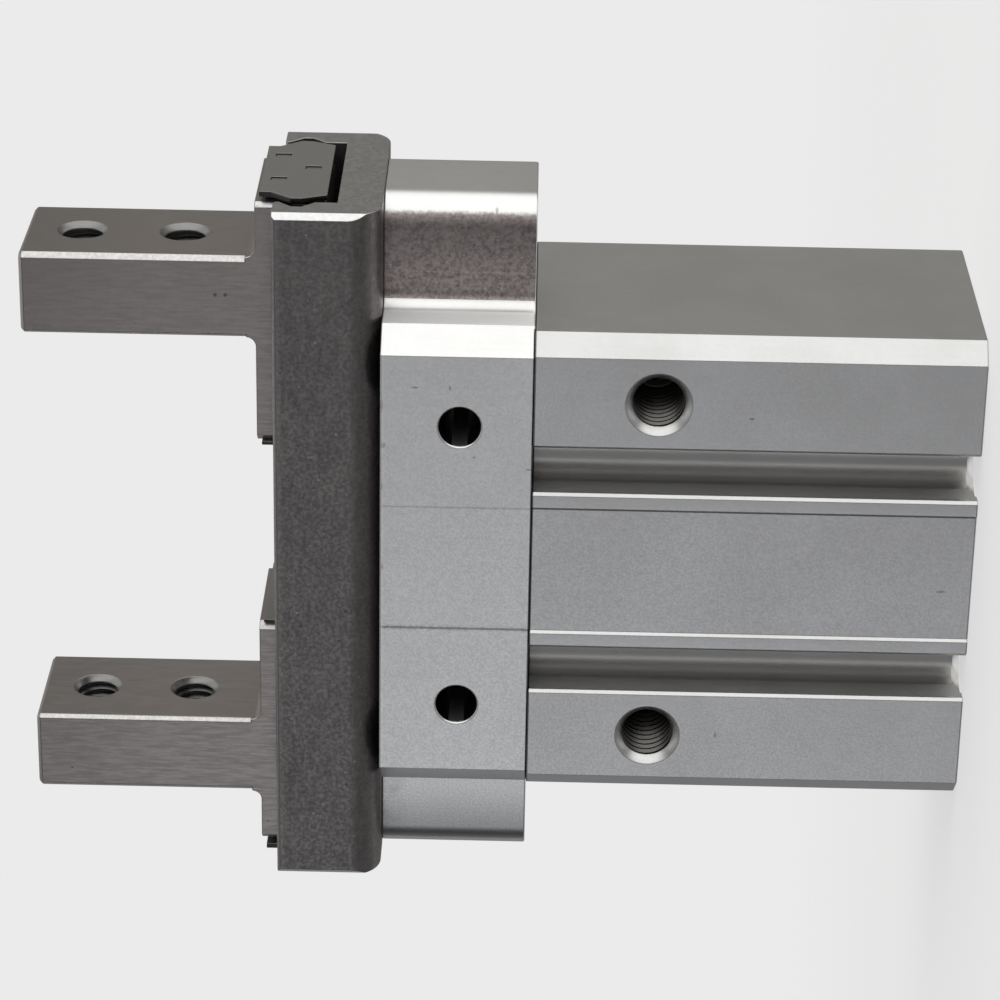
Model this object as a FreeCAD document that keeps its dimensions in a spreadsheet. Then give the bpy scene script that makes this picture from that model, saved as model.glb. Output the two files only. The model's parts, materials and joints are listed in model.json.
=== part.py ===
import FreeCAD, Part
import math
import os
import re
import Sketcher

# Pneumatic parallel gripper, in millimetres.
# The origin is the centre of the rear mounting face. +Z runs towards the fingers, X is the finger travel
# and the air ports are on the -Y face. The fingers are drawn fully open, with the piston forward.

# Driving dimensions
sizes = {
    # cylinder body
    "body_half_width": 20.4,
    "body_half_depth": 11.8,
    "body_length": 36.0,
    "body_chamfer": 1.6,
    "strip_half_width": 5.45,
    "strip_depth": 0.22,
    "groove_offset": 8.93,
    "groove_half_width": 1.95,
    "groove_depth": 4.6,
    "groove_lip": 0.25,
    "groove_mouth": 0.6,
    "bore_radius": 8.0,
    "port_offset": 14.9,
    "port_height": 26.0,
    "port_radius": 2.1,
    "port_depth": 8.6,
    "port_chamfer": 0.6,
    "pilot_radius": 1.25,
    "pilot_depth": 10.0,
    "passage_radius": 0.9,
    "rear_hole_offset": 15.0,
    "rear_hole_radius": 1.65,
    "rear_hole_depth": 8.0,
    "rear_hole_chamfer": 0.4,
    "rear_dowel_side": 6.5,
    "rear_dowel_radius": 1.5,
    "rear_dowel_depth": 4.0,
    # rear cap and its snap ring
    "cap_seat_radius": 8.5,
    "cap_seat_depth": 7.6,
    "cap_inset": 2.0,
    "cap_dish_radius": 4.5,
    "cap_dish_depth": 0.8,
    "ring_start": 1.0,
    "ring_slot": 1.0,
    "ring_thickness": 0.9,
    "ring_outer_radius": 9.1,
    "ring_inner_radius": 7.5,
    "ring_slot_radius": 9.2,
    "ring_gap_half_width": 1.8,
    "ring_lug_radius": 1.4,
    "ring_lug_offset": 3.1,
    "ring_lug_drop": 6.3,
    "ring_eye_radius": 0.6,
    "cap_seal_ring": 7.85,
    "cap_seal_cord": 0.6,
    "cap_seal_slot_floor": 7.2,
    "cap_seal_slot_half": 0.9,
    "cap_bumper_thickness": 1.0,
    "bumper_radius": 5.5,
    # rod cover at the front of the bore
    "cover_seat_radius": 9.0,
    "cover_seat_start": 28.0,
    "cover_seal_ring": 8.25,
    "cover_seal_cord": 0.7,
    "cover_seal_height": 31.2,
    "cover_seal_slot_floor": 7.5,
    "cover_seal_slot_half": 1.0,
    "rod_seal_start": 31.0,
    "rod_seal_length": 2.2,
    "rod_seal_slot_radius": 4.2,
    "rod_bumper_thickness": 1.4,
    "end_gap": 0.3,
    # running and press clearances, on the radius
    "seat_play": 0.03,
    "pin_play": 0.01,
    "run_play": 0.05,
    # head block
    "head_length": 12.3,
    "head_half_width": 20.6,
    "head_half_depth": 11.6,
    "head_chamfer": 2.0,
    "ear_reach": 29.75,
    "ear_half_thickness": 6.0,
    "ear_round": 2.7,
    "ear_fillet": 1.6,
    "side_hole_offset": 12.5,
    "side_hole_lift": 5.9,
    "side_hole_radius": 1.7,
    "side_hole_chamfer": 0.12,
    "web_thickness": 2.0,
    "cavity_half_width": 3.6,
    "joint_room": 4.8,
    "tongue_room_reach": 7.6,
    "tongue_room_drop": 3.4,
    "pivot_room": 2.8,
    "rod_room": 2.9,
    # lever drive
    "finger_travel": 5.0,
    "pivot_offset": 8.2,
    "pivot_lift": 9.6,
    "lever_length": 9.0,
    "crank_arm": 5.6,
    "lever_swing": 16.128,
    "piston_stroke": 3.239,
    "boss_radius": 2.3,
    "boss_half_length": 3.3,
    "shaft_radius": 1.25,
    "shaft_front": 6.5,
    "shaft_back": 8.5,
    "arm_root_half_width": 1.8,
    "arm_tip_half_width": 0.9,
    "arm_taper_end": 6.0,
    "arm_half_thickness": 2.2,
    "tongue_half_height": 1.9,
    "tongue_half_thickness": 1.5,
    "tongue_reach": 7.8,
    "tongue_slot_end": 5.2,
    "joint_pin_radius": 1.0,
    "roller_radius": 1.5,
    "roller_half_length": 1.2,
    "roller_pin_radius": 0.5,
    # rod joint
    "joint_half_width": 4.2,
    "joint_half_depth": 3.2,
    "joint_slot_half": 1.7,
    "joint_top": 1.7,
    "joint_slot_drop": 3.0,
    "joint_drop": 5.6,
    "rod_socket": 2.2,
    # piston
    "piston_length": 14.1,
    "piston_edge": 0.6,
    "retainer_thickness": 1.2,
    "magnet_length": 3.0,
    "magnet_radius": 7.6,
    "spigot_radius": 4.45,
    "rivet_radius": 2.2,
    "rod_radius": 2.5,
    "rod_grip": 8.2,
    "seal_lift": 8.4,
    "seal_length": 2.5,
    "seal_slot_floor": 6.2,
    # guide rail
    "rail_half_length": 29.85,
    "rail_half_depth": 10.3,
    "rail_height": 8.7,
    "rail_floor": 3.6,
    "rail_round": 2.7,
    "rail_lip": 0.25,
    "rail_end_chamfer": 0.5,
    "channel_half_width": 7.3,
    "race_floor": 8.35,
    "window_half_length": 12.4,
    "window_half_width": 3.5,
    "window_round": 1.5,
    # balls
    "ball_radius": 1.2,
    "ball_play": 0.03,
    "ball_offset": 7.0,
    "ball_lift": 3.2,
    "ball_pitch": 2.5,
    "ball_row_start": 9.7,
    # sliders and fingers
    "slider_inner": 8.3,
    "slider_outer": 29.08,
    "slider_gap": 1.0,
    "slider_half_width": 6.7,
    "slider_race_floor": 5.65,
    "slider_shoulder": 4.9,
    "slider_top": 6.75,
    "slider_corner": 0.6,
    "slider_end_chamfer": 0.4,
    "lip_half_width": 5.65,
    "finger_inner": 17.47,
    "finger_outer": 24.42,
    "finger_length": 19.08,
    "finger_outer_chamfer": 0.42,
    "finger_inner_chamfer": 0.3,
    "finger_tip_chamfer": 0.3,
    "finger_root": 0.8,
    "finger_hole_radius": 1.62,
    "finger_hole_chamfer": 0.46,
    "finger_hole_low": 6.11,
    "finger_hole_high": 14.48,
    "slot_half_length": 1.55,
    "slot_half_width": 2.6,
    "slot_depth": 3.6,
    # stop plates on the slider ends
    "stop_gap": 0.5,
    "stop_thickness": 0.45,
    "inner_stop_thickness": 0.3,
    "stop_foot_half_width": 6.1,
    "stop_foot_lift": 0.86,
    "stop_ridge_half_width": 7.0,
    "stop_ridge_lift": 3.3,
    "stop_ridge_half_height": 0.45,
    "stop_neck_half_width": 5.6,
    "stop_neck_lift": 5.4,
    "stop_top_lift": 6.35,
    "stop_pad_half_width": 4.6,
    "stop_pad_low": 1.7,
    "stop_pad_high": 5.9,
    "mark_half_length": 0.65,
    "mark_half_width": 0.4,
    "mark_depth": 0.2,
    "mark_low": 2.35,
    "mark_high": 4.97,
    "mark_back": 3.4,
    "mark_middle": 0.45,
    "mark_front": -2.35,
    # fasteners
    "head_screw_x": 16.8,
    "head_screw_y": 7.6,
    "head_screw_radius": 1.48,
    "head_screw_thread": 5.6,
    "head_screw_thread_hole": 1.5,
    "head_screw_thread_depth": 6.0,
    "head_screw_way": 1.7,
    "head_screw_head_radius": 2.75,
    "head_screw_head_length": 3.0,
    "head_screw_sink_radius": 2.9,
    "head_screw_sink_depth": 3.3,
    "head_screw_key": 1.44,
    "head_dowel_radius": 1.0,
    "head_dowel_half_length": 2.8,
    "rail_screw_x": 24.6,
    "rail_screw_radius": 1.98,
    "rail_screw_thread_hole": 2.0,
    "rail_screw_way": 2.25,
    "rail_screw_head_radius": 3.5,
    "rail_screw_head_length": 4.0,
    "rail_screw_sink_radius": 3.75,
    "rail_screw_sink_depth": 4.2,
    "rail_screw_tip_gap": 0.4,
    "rail_screw_key": 1.73,
    "rail_dowel_x": 17.5,
    "rail_dowel_radius": 1.5,
    "rail_dowel_depth": 4.0,
}

balls_in_row = 7
half_turn = 180
full_turn = 360
least_cut = 1e-4
edge_slack = 0.01
drive_slack = 0.001
sides = {"right": 0, "left": half_turn}
quarters = [(x, y) for x in ("", "-") for y in ("", "-")]

doc = FreeCAD.newDocument("ParallelGripper")
sheet = doc.addObject("Spreadsheet::Sheet", "dims")
for row, (alias, size) in enumerate(sizes.items(), start=1):
    sheet.set(f"A{row}", alias)
    sheet.set(f"B{row}", str(size))
    sheet.setAlias(f"B{row}", alias)
doc.recompute()

cell_of = {alias: f"dims.{alias}" for alias in sizes}
subparts = {}


# Expression helpers

def formula(text):
    # a size written with the sheet's names, as an expression that the document can hold
    return re.sub(r"[a-z]\w*", lambda word: cell_of.get(word.group(), word.group()), str(text))


def value(text):
    return float(sheet.evalExpression(formula(text)))


def spot(x, y, z):
    return FreeCAD.Vector(value(x), value(y), value(z))


def bind(thing, name, text):
    thing.setExpression(name, formula(text))


# Heights that several pieces share
head_bottom = "body_length"
head_top = "(body_length + head_length)"
rail_top = "(body_length + head_length + rail_height)"
floor_top = "(body_length + head_length + rail_floor)"
ball_height = f"({floor_top} + ball_lift)"
slider_bottom = f"({floor_top} + slider_gap)"
slider_height = f"({floor_top} + slider_top)"
pivot_height = "(body_length + pivot_lift)"
joint_height = f"({pivot_height} + piston_stroke / 2)"
piston_bottom = "(cap_seat_depth + cap_bumper_thickness + end_gap + piston_stroke)"
piston_top = f"({piston_bottom} + piston_length)"
race_reach = "(sqrt(2) * (ball_radius + ball_play))"
roller_offset = "(pivot_offset + finger_travel / 2)"

# Places of the screws and dowels that hold the head to the body and the rail to the head
head_screw_places = [(f"{x}head_screw_x", f"{y}head_screw_y") for x, y in quarters]
head_dowel_places = [("head_screw_x", 0), ("-head_screw_x", 0)]
rail_screw_places = [("rail_screw_x", 0), ("-rail_screw_x", 0)]
rail_dowel_places = [("rail_dowel_x", 0), ("-rail_dowel_x", 0)]


# Sketch helpers

def new_body(label):
    body = doc.addObject("PartDesign::Body", label)
    body.Label = label
    subparts[label] = body
    return body


def sketch_on(body, plane, offset=0):
    sketch = body.newObject("Sketcher::SketchObject", body.Label + "_sketch")
    origin_plane = next(item for item in body.Origin.OriginFeatures if item.Role == plane)
    sketch.AttachmentSupport = [(origin_plane, "")]
    sketch.MapMode = "FlatFace"
    bind(sketch, "AttachmentOffset.Base.z", offset)
    return sketch


def fix_point(sketch, edge, end, x, y):
    # holds an edge's end by its bound distances from the sketch's origin, or on an axis where one is nil
    origin_edge, origin_end, x_axis, y_axis = -1, 1, -1, -2
    for kind, axis, reach in (("DistanceX", y_axis, x), ("DistanceY", x_axis, y)):
        if value(reach) == 0:
            sketch.addConstraint(Sketcher.Constraint("PointOnObject", edge, end, axis))
        else:
            distance = Sketcher.Constraint(kind, origin_edge, origin_end, edge, end, value(reach))
            index = sketch.addConstraint(distance)
            bind(sketch, f"Constraints[{index}]", reach)


def outline(sketch, corners):
    # a closed outline of straight edges, each corner held by two bound distances
    spots = [spot(x, y, 0) for x, y in corners]
    first = sketch.GeometryCount
    count = len(corners)
    for start, end in zip(spots, spots[1:] + spots[:1]):
        sketch.addGeometry(Part.LineSegment(start, end), False)
    for step in range(count):
        edge = first + step
        follower = first + (step + 1) % count
        sketch.addConstraint(Sketcher.Constraint("Coincident", edge, 2, follower, 1))
    for edge, (x, y) in enumerate(corners, start=first):
        fix_point(sketch, edge, 1, x, y)


def circle(sketch, x, y, radius):
    edge = sketch.addGeometry(Part.Circle(spot(x, y, 0), FreeCAD.Vector(0, 0, 1), value(radius)), False)
    fix_point(sketch, edge, 3, x, y)
    index = sketch.addConstraint(Sketcher.Constraint("Radius", edge, value(radius)))
    bind(sketch, f"Constraints[{index}]", radius)


def rectangle(sketch, low_x, low_y, high_x, high_y):
    outline(sketch, [(low_x, low_y), (high_x, low_y), (high_x, high_y), (low_x, high_y)])


def mirrored(half):
    # the outline whose +x half is given from its lower to its upper end
    return half + [(f"-({x})", y) for x, y in reversed(half)]


# Feature helpers

def pad(body, sketch, length, side="One side"):
    feature = body.newObject("PartDesign::Pad", body.Label + "_pad")
    feature.Profile = sketch
    feature.SideType = side
    bind(feature, "Length", length)
    doc.recompute()


def pocket(body, sketch, length, side="One side", forward=False):
    # cuts against the sketch's normal, or along it when forward
    before = body.Shape.Volume
    feature = body.newObject("PartDesign::Pocket", body.Label + "_pocket")
    feature.Profile = sketch
    feature.SideType = side
    feature.Reversed = forward
    bind(feature, "Length", length)
    doc.recompute()
    if body.Shape.Volume > before - least_cut:
        raise RuntimeError(f"{feature.Name} cuts nothing from {body.Label}")


def holes(body, plane, offset, places, radius, depth, forward=False):
    sketch = sketch_on(body, plane, offset)
    for x, y in places:
        circle(sketch, x, y, radius)
    pocket(body, sketch, depth, forward=forward)


def edges_inside(body, low, high):
    # the edges that lie in a box given by two corners
    margin = FreeCAD.Vector(edge_slack, edge_slack, edge_slack)
    near = spot(*low) - margin
    far = spot(*high) + margin
    box = FreeCAD.BoundBox(near.x, near.y, near.z, far.x, far.y, far.z)
    return [f"Edge{n}" for n, edge in enumerate(body.Shape.Edges, start=1) if box.isInside(edge.BoundBox)]


def dress(body, kind, size, boxes):
    # a fillet or chamfer on every edge that lies in one of the boxes
    names = sorted({name for low, high in boxes for name in edges_inside(body, low, high)})
    if not names:
        raise RuntimeError(f"no edges for the {kind} on {body.Label}")
    base = body.Tip
    feature = body.newObject("PartDesign::" + kind, body.Label + "_" + kind.lower())
    feature.Base = (base, names)
    bind(feature, {"Fillet": "Radius", "Chamfer": "Size"}[kind], size)
    doc.recompute()


def upright_edge(x, y, low, high):
    # the box of a straight edge along Z
    return (x, y, low), (x, y, high)


def around(x, y, z, radius, along):
    # the box of a round edge of the given radius, flat along one axis
    reach = {axis: 0 if axis == along else radius for axis in "xyz"}
    low = [f"{middle} - {reach[axis]}" for middle, axis in zip((x, y, z), "xyz")]
    high = [f"{middle} + {reach[axis]}" for middle, axis in zip((x, y, z), "xyz")]
    return low, high


def drilled(body, start, end, radius):
    # a slanting air passage from one point to another
    cut = body.newObject("PartDesign::SubtractiveCylinder", body.Label + "_passage")
    way = spot(*end) - spot(*start)
    bind(cut, "Radius", radius)
    cut.Height = way.Length
    cut.Placement = FreeCAD.Placement(spot(*start), FreeCAD.Rotation(FreeCAD.Vector(0, 0, 1), way))
    doc.recompute()


def turned(label, profile):
    # a piece of revolution about Z from its (radius, height) profile
    body = new_body(label)
    sketch = sketch_on(body, "XZ_Plane")
    outline(sketch, profile)
    feature = body.newObject("PartDesign::Revolution", label + "_turned")
    feature.Profile = sketch
    feature.ReferenceAxis = (sketch, ["V_Axis"])
    feature.Angle = full_turn
    doc.recompute()
    return body


def ring_profile(inner, outer, low, high):
    return [(inner, low), (outer, low), (outer, high), (inner, high)]


# Solid helpers for pieces made of simple solids

def place(thing, base, turn=FreeCAD.Rotation()):
    thing.Placement = FreeCAD.Placement(FreeCAD.Vector(), turn)
    for axis, where in zip("xyz", base):
        bind(thing, f"Placement.Base.{axis}", where)
    return thing


def rod(name, radius, length, base, turn=FreeCAD.Rotation()):
    solid = doc.addObject("Part::Cylinder", name)
    bind(solid, "Radius", radius)
    bind(solid, "Height", length)
    return place(solid, base, turn)


def block(name, size, base):
    solid = doc.addObject("Part::Box", name)
    for side, length in zip(("Length", "Width", "Height"), size):
        bind(solid, side, length)
    return place(solid, base)


def joined(name, base, tool):
    solid = doc.addObject("Part::Fuse", name)
    solid.Base = base
    solid.Tool = tool
    return solid


def without(name, base, tool):
    solid = doc.addObject("Part::Cut", name)
    solid.Base = base
    solid.Tool = tool
    return solid


def keep(label, thing):
    thing.Label = label
    subparts[label] = thing
    return thing


def group(label, things):
    compound = doc.addObject("Part::Compound", label)
    compound.Links = things
    return keep(label, compound)


def side_turn(turn):
    # the left-hand pieces are the right-hand ones turned half round
    return FreeCAD.Rotation(FreeCAD.Vector(0, 0, 1), turn)


along_y = FreeCAD.Rotation(FreeCAD.Vector(1, 0, 0), -90)


# Cylinder body

def make_cylinder_body():
    body = new_body("cylinder_body")
    section = sketch_on(body, "XY_Plane")
    outline(section, mirrored([
        ("body_half_width - body_chamfer", "-body_half_depth"),
        ("body_half_width", "-body_half_depth + body_chamfer"),
        ("body_half_width", "body_half_depth - body_chamfer"),
        ("body_half_width - body_chamfer", "body_half_depth"),
    ]))
    pad(body, section, "body_length")

    # shallow label strip with sloping edges down the middle of the port face
    strip = sketch_on(body, "XY_Plane")
    outline(strip, mirrored([
        ("strip_half_width + strip_depth", "-body_half_depth - strip_depth"),
        ("strip_half_width + strip_depth", "-body_half_depth"),
        ("strip_half_width", "-body_half_depth + strip_depth"),
    ]))
    pocket(body, strip, "body_length", forward=True)

    # two round-bottomed switch grooves, open at the rear
    round_centre = "-body_half_depth + groove_depth - groove_half_width"
    for side in ("", "-"):
        middle = f"{side}groove_offset"
        mouth = sketch_on(body, "XY_Plane")
        outline(mouth, [
            (f"{middle} - groove_half_width - groove_lip", "-body_half_depth - groove_lip"),
            (f"{middle} + groove_half_width + groove_lip", "-body_half_depth - groove_lip"),
            (f"{middle} + groove_half_width + groove_lip", "-body_half_depth"),
            (f"{middle} + groove_half_width", "-body_half_depth + groove_lip"),
            (f"{middle} + groove_half_width", round_centre),
            (f"{middle} - groove_half_width", round_centre),
            (f"{middle} - groove_half_width", "-body_half_depth + groove_lip"),
            (f"{middle} - groove_half_width - groove_lip", "-body_half_depth"),
        ])
        pocket(body, mouth, "body_length", forward=True)
        holes(body, "XY_Plane", 0, [(middle, round_centre)], "groove_half_width", "body_length",
              forward=True)
        flare = body.newObject("PartDesign::SubtractiveCone", "groove_flare")
        bind(flare, "Radius1", "groove_half_width + groove_mouth")
        bind(flare, "Radius2", "groove_half_width")
        bind(flare, "Height", "groove_mouth")
        place(flare, (middle, round_centre, 0))
        doc.recompute()

    # bore, cap seat, snap ring slot and rod cover seat
    middle = [(0, 0)]
    holes(body, "XY_Plane", 0, middle, "bore_radius", "cover_seat_start", forward=True)
    holes(body, "XY_Plane", 0, middle, "cap_seat_radius", "cap_seat_depth", forward=True)
    holes(body, "XY_Plane", "ring_start", middle, "ring_slot_radius", "ring_slot", forward=True)
    holes(body, "XY_Plane", "cover_seat_start", middle, "cover_seat_radius",
          "body_length - cover_seat_start", forward=True)

    # air ports with their pilot holes and slanting passages to the two ends of the bore
    ports = [("port_offset", "port_height"), ("-port_offset", "port_height")]
    holes(body, "XZ_Plane", "body_half_depth", ports, "port_radius", "port_depth")
    holes(body, "XZ_Plane", "body_half_depth", ports, "pilot_radius", "pilot_depth")
    dress(body, "Chamfer", "port_chamfer",
          [around(x, "-body_half_depth", z, "port_radius", "y") for x, z in ports])
    passage_depth = "-body_half_depth + pilot_depth - passage_radius"
    drilled(body, ("port_offset", passage_depth, "port_height"),
            ("bore_radius - 2 * passage_radius", 0, "cover_seat_start - passage_radius"), "passage_radius")
    drilled(body, ("-port_offset", passage_depth, "port_height"),
            ("-bore_radius + passage_radius", 0, "cap_seat_depth + 2 * passage_radius"), "passage_radius")

    # rear mounting threads and dowel holes
    rear = [("rear_hole_offset", 0), ("-rear_hole_offset", 0)]
    holes(body, "XY_Plane", 0, rear, "rear_hole_radius", "rear_hole_depth", forward=True)
    dress(body, "Chamfer", "rear_hole_chamfer", [around(x, y, 0, "rear_hole_radius", "z") for x, y in rear])
    dowels = [("rear_hole_offset", "rear_dowel_side"), ("-rear_hole_offset", "rear_dowel_side")]
    holes(body, "XY_Plane", 0, dowels, "rear_dowel_radius", "rear_dowel_depth", forward=True)

    # threads and dowel holes for the head
    holes(body, "XY_Plane", head_bottom, head_screw_places, "head_screw_thread_hole",
          "head_screw_thread_depth")
    holes(body, "XY_Plane", head_bottom, head_dowel_places, "head_dowel_radius + pin_play",
          "head_dowel_half_length + 2 * run_play")


# Head block: the lever housing and the ears that carry the rail

def make_head_block():
    body = new_body("head_block")
    section = sketch_on(body, "XY_Plane", head_bottom)
    outline(section, mirrored([
        ("head_half_width - head_chamfer", "-head_half_depth"),
        ("head_half_width", "-head_half_depth + head_chamfer"),
        ("head_half_width", "-ear_half_thickness"),
        ("ear_reach", "-ear_half_thickness"),
        ("ear_reach", "ear_half_thickness"),
        ("head_half_width", "ear_half_thickness"),
        ("head_half_width", "head_half_depth - head_chamfer"),
        ("head_half_width - head_chamfer", "head_half_depth"),
    ]))
    pad(body, section, "head_length")
    for size, reach in (("ear_round", "ear_reach"), ("ear_fillet", "head_half_width")):
        dress(body, "Fillet", size, [
            upright_edge(f"{x}{reach}", f"{y}ear_half_thickness", head_bottom, head_top)
            for x, y in quarters
        ])

    # room for the levers and the rod joint
    full_width = "2 * cavity_half_width"
    levers = sketch_on(body, "XZ_Plane")
    rectangle(levers, "-pivot_offset - pivot_room", pivot_height, "pivot_offset + pivot_room", head_top)
    pocket(body, levers, full_width, "Symmetric")
    bosses = sketch_on(body, "XZ_Plane")
    circle(bosses, "pivot_offset", pivot_height, "pivot_room")
    circle(bosses, "-pivot_offset", pivot_height, "pivot_room")
    pocket(body, bosses, full_width, "Symmetric")
    tongues = sketch_on(body, "XZ_Plane")
    rectangle(tongues, "-tongue_room_reach", f"{pivot_height} - tongue_room_drop",
              "tongue_room_reach", head_top)
    pocket(body, tongues, full_width, "Symmetric")
    joint = sketch_on(body, "XZ_Plane")
    rectangle(joint, "-joint_room", "body_length + web_thickness", "joint_room", head_top)
    pocket(body, joint, full_width, "Symmetric")
    holes(body, "XY_Plane", head_bottom, [(0, 0)], "rod_room", "web_thickness + run_play", forward=True)

    # lever shaft holes, drilled from the back
    pivots = [("pivot_offset", pivot_height), ("-pivot_offset", pivot_height)]
    holes(body, "XZ_Plane", "-head_half_depth", pivots, "shaft_radius + pin_play",
          "head_half_depth + shaft_front + run_play", forward=True)

    # side mounting holes, right through
    side_height = f"({head_bottom} + side_hole_lift)"
    sides_through = [("side_hole_offset", side_height), ("-side_hole_offset", side_height)]
    holes(body, "XZ_Plane", "head_half_depth", sides_through, "side_hole_radius", "2 * head_half_depth")
    dress(body, "Chamfer", "side_hole_chamfer", [
        around(x, face, z, "side_hole_radius", "y")
        for x, z in sides_through for face in ("head_half_depth", "-head_half_depth")
    ])

    # screws down into the body and up into the rail, with their dowels
    holes(body, "XY_Plane", head_top, head_screw_places, "head_screw_way", "head_length")
    holes(body, "XY_Plane", head_top, head_screw_places, "head_screw_sink_radius", "head_screw_sink_depth")
    holes(body, "XY_Plane", head_bottom, rail_screw_places, "rail_screw_way", "head_length", forward=True)
    holes(body, "XY_Plane", head_bottom, rail_screw_places, "rail_screw_sink_radius",
          "rail_screw_sink_depth", forward=True)
    holes(body, "XY_Plane", head_bottom, head_dowel_places, "head_dowel_radius + pin_play",
          "head_dowel_half_length + 2 * run_play", forward=True)
    holes(body, "XY_Plane", head_top, rail_dowel_places, "rail_dowel_radius + pin_play",
          "rail_dowel_depth + 2 * run_play")


# Guide rail: a U-shaped channel with a ball race in each wall

def make_guide_rail():
    body = new_body("guide_rail")
    wall_rise = f"(ball_offset + {race_reach} - channel_half_width)"
    floor_rise = f"(ball_offset + {race_reach} - race_floor)"
    section = sketch_on(body, "YZ_Plane")
    outline(section, mirrored([
        ("rail_half_depth", head_top),
        ("rail_half_depth", f"{rail_top} - rail_lip"),
        ("rail_half_depth - rail_lip", rail_top),
        ("channel_half_width + rail_lip", rail_top),
        ("channel_half_width", f"{rail_top} - rail_lip"),
        ("channel_half_width", f"{ball_height} + {wall_rise}"),
        ("race_floor", f"{ball_height} + {floor_rise}"),
        ("race_floor", f"{ball_height} - {floor_rise}"),
        ("channel_half_width", f"{ball_height} - {wall_rise}"),
        ("channel_half_width", floor_top),
    ]))
    pad(body, section, "2 * rail_half_length", "Symmetric")

    # chamfered corners at the ends of the rail
    ends = sketch_on(body, "XY_Plane", head_top)
    for x, y in quarters:
        outline(ends, [
            (f"{x}rail_half_length", f"{y}(rail_half_depth - rail_end_chamfer)"),
            (f"{x}(rail_half_length + rail_end_chamfer)", f"{y}(rail_half_depth - rail_end_chamfer)"),
            (f"{x}(rail_half_length + rail_end_chamfer)", f"{y}(rail_half_depth + rail_end_chamfer)"),
            (f"{x}(rail_half_length - rail_end_chamfer)", f"{y}(rail_half_depth + rail_end_chamfer)"),
            (f"{x}(rail_half_length - rail_end_chamfer)", f"{y}rail_half_depth"),
        ])
    pocket(body, ends, "rail_height", forward=True)

    window = sketch_on(body, "XY_Plane", floor_top)
    rectangle(window, "-window_half_length", "-window_half_width",
              "window_half_length", "window_half_width")
    pocket(body, window, "rail_floor")
    dress(body, "Fillet", "window_round", [
        upright_edge(f"{x}window_half_length", f"{y}window_half_width", head_top, floor_top)
        for x, y in quarters
    ])
    holes(body, "XY_Plane", floor_top, rail_screw_places, "rail_screw_thread_hole", "rail_floor")
    holes(body, "XY_Plane", floor_top, rail_dowel_places, "rail_dowel_radius + pin_play", "rail_floor")
    dress(body, "Fillet", "rail_round", [
        (("-rail_half_length", f"{y}rail_half_depth", head_top),
         ("rail_half_length", f"{y}rail_half_depth", head_top))
        for y in ("", "-")
    ])


# Fingers, each one piece with its slider

def make_finger(side, turn):
    body = new_body(f"finger_{side}")
    side_rise = f"(slider_half_width - ball_offset + {race_reach})"
    floor_rise = f"(slider_race_floor - ball_offset + {race_reach})"
    shoulder = f"({floor_top} + slider_shoulder)"
    section = sketch_on(body, "YZ_Plane", "slider_inner")
    outline(section, mirrored([
        ("slider_half_width", slider_bottom),
        ("slider_half_width", f"{ball_height} - {side_rise}"),
        ("slider_race_floor", f"{ball_height} - {floor_rise}"),
        ("slider_race_floor", f"{ball_height} + {floor_rise}"),
        ("slider_half_width", f"{ball_height} + {side_rise}"),
        ("slider_half_width", shoulder),
        ("lip_half_width", shoulder),
        ("lip_half_width", slider_height),
    ]))
    pad(body, section, "slider_outer - slider_inner")

    # chamfered corners at both ends of the slider's lip
    corners = sketch_on(body, "XY_Plane", shoulder)
    lip_ends = [
        ("slider_inner", "slider_corner", "+", "-"),
        ("slider_outer", "slider_end_chamfer", "-", "+"),
    ]
    for end, size, inwards, outwards in lip_ends:
        for y in ("", "-"):
            outline(corners, [
                (end, f"{y}(lip_half_width - {size})"),
                (f"{end} {inwards} {size}", f"{y}lip_half_width"),
                (f"{end} {inwards} {size}", f"{y}(lip_half_width + {size})"),
                (f"{end} {outwards} {size}", f"{y}(lip_half_width + {size})"),
                (f"{end} {outwards} {size}", f"{y}(lip_half_width - {size})"),
            ])
    pocket(body, corners, f"{slider_height} - {shoulder}", forward=True)

    blade = sketch_on(body, "XY_Plane", slider_height)
    rectangle(blade, "finger_inner", "-lip_half_width", "finger_outer", "lip_half_width")
    pad(body, blade, "finger_length")
    tip = f"{slider_height} + finger_length"
    for face in ("finger_outer", "finger_inner"):
        dress(body, "Fillet", "finger_root", [
            ((face, "-lip_half_width", slider_height), (face, "lip_half_width", slider_height)),
        ])

    # chamfers along the blade that stop short of its root
    slants = sketch_on(body, "XY_Plane", tip)
    for face, inwards, outwards in (("finger_outer", "-", "+"), ("finger_inner", "+", "-")):
        size = f"{face}_chamfer"
        for y in ("", "-"):
            outline(slants, [
                (face, f"{y}(lip_half_width - {size})"),
                (f"{face} {inwards} {size}", f"{y}lip_half_width"),
                (f"{face} {inwards} {size}", f"{y}(lip_half_width + {size})"),
                (f"{face} {outwards} {size}", f"{y}(lip_half_width + {size})"),
                (f"{face} {outwards} {size}", f"{y}(lip_half_width - {size})"),
            ])
    pocket(body, slants, "finger_length - finger_root")
    dress(body, "Chamfer", "finger_tip_chamfer", [
        (("finger_inner", "-lip_half_width", tip), ("finger_outer", "lip_half_width", tip)),
    ])

    levels = [f"({slider_height} + {lift})" for lift in ("finger_hole_low", "finger_hole_high")]
    holes(body, "YZ_Plane", "finger_outer", [(0, level) for level in levels], "finger_hole_radius",
          "finger_outer - finger_inner")
    dress(body, "Chamfer", "finger_hole_chamfer", [
        around(face, 0, level, "finger_hole_radius", "x")
        for face in ("finger_outer", "finger_inner") for level in levels
    ])

    # slot under the slider for the lever's roller
    slot = sketch_on(body, "XY_Plane", slider_bottom)
    rectangle(slot, f"{roller_offset} - slot_half_length", "-slot_half_width",
              f"{roller_offset} + slot_half_length", "slot_half_width")
    pocket(body, slot, "slot_depth", forward=True)
    body.Placement.Rotation = side_turn(turn)


# Stop plates that keep the balls in, one on each end of each slider

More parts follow.
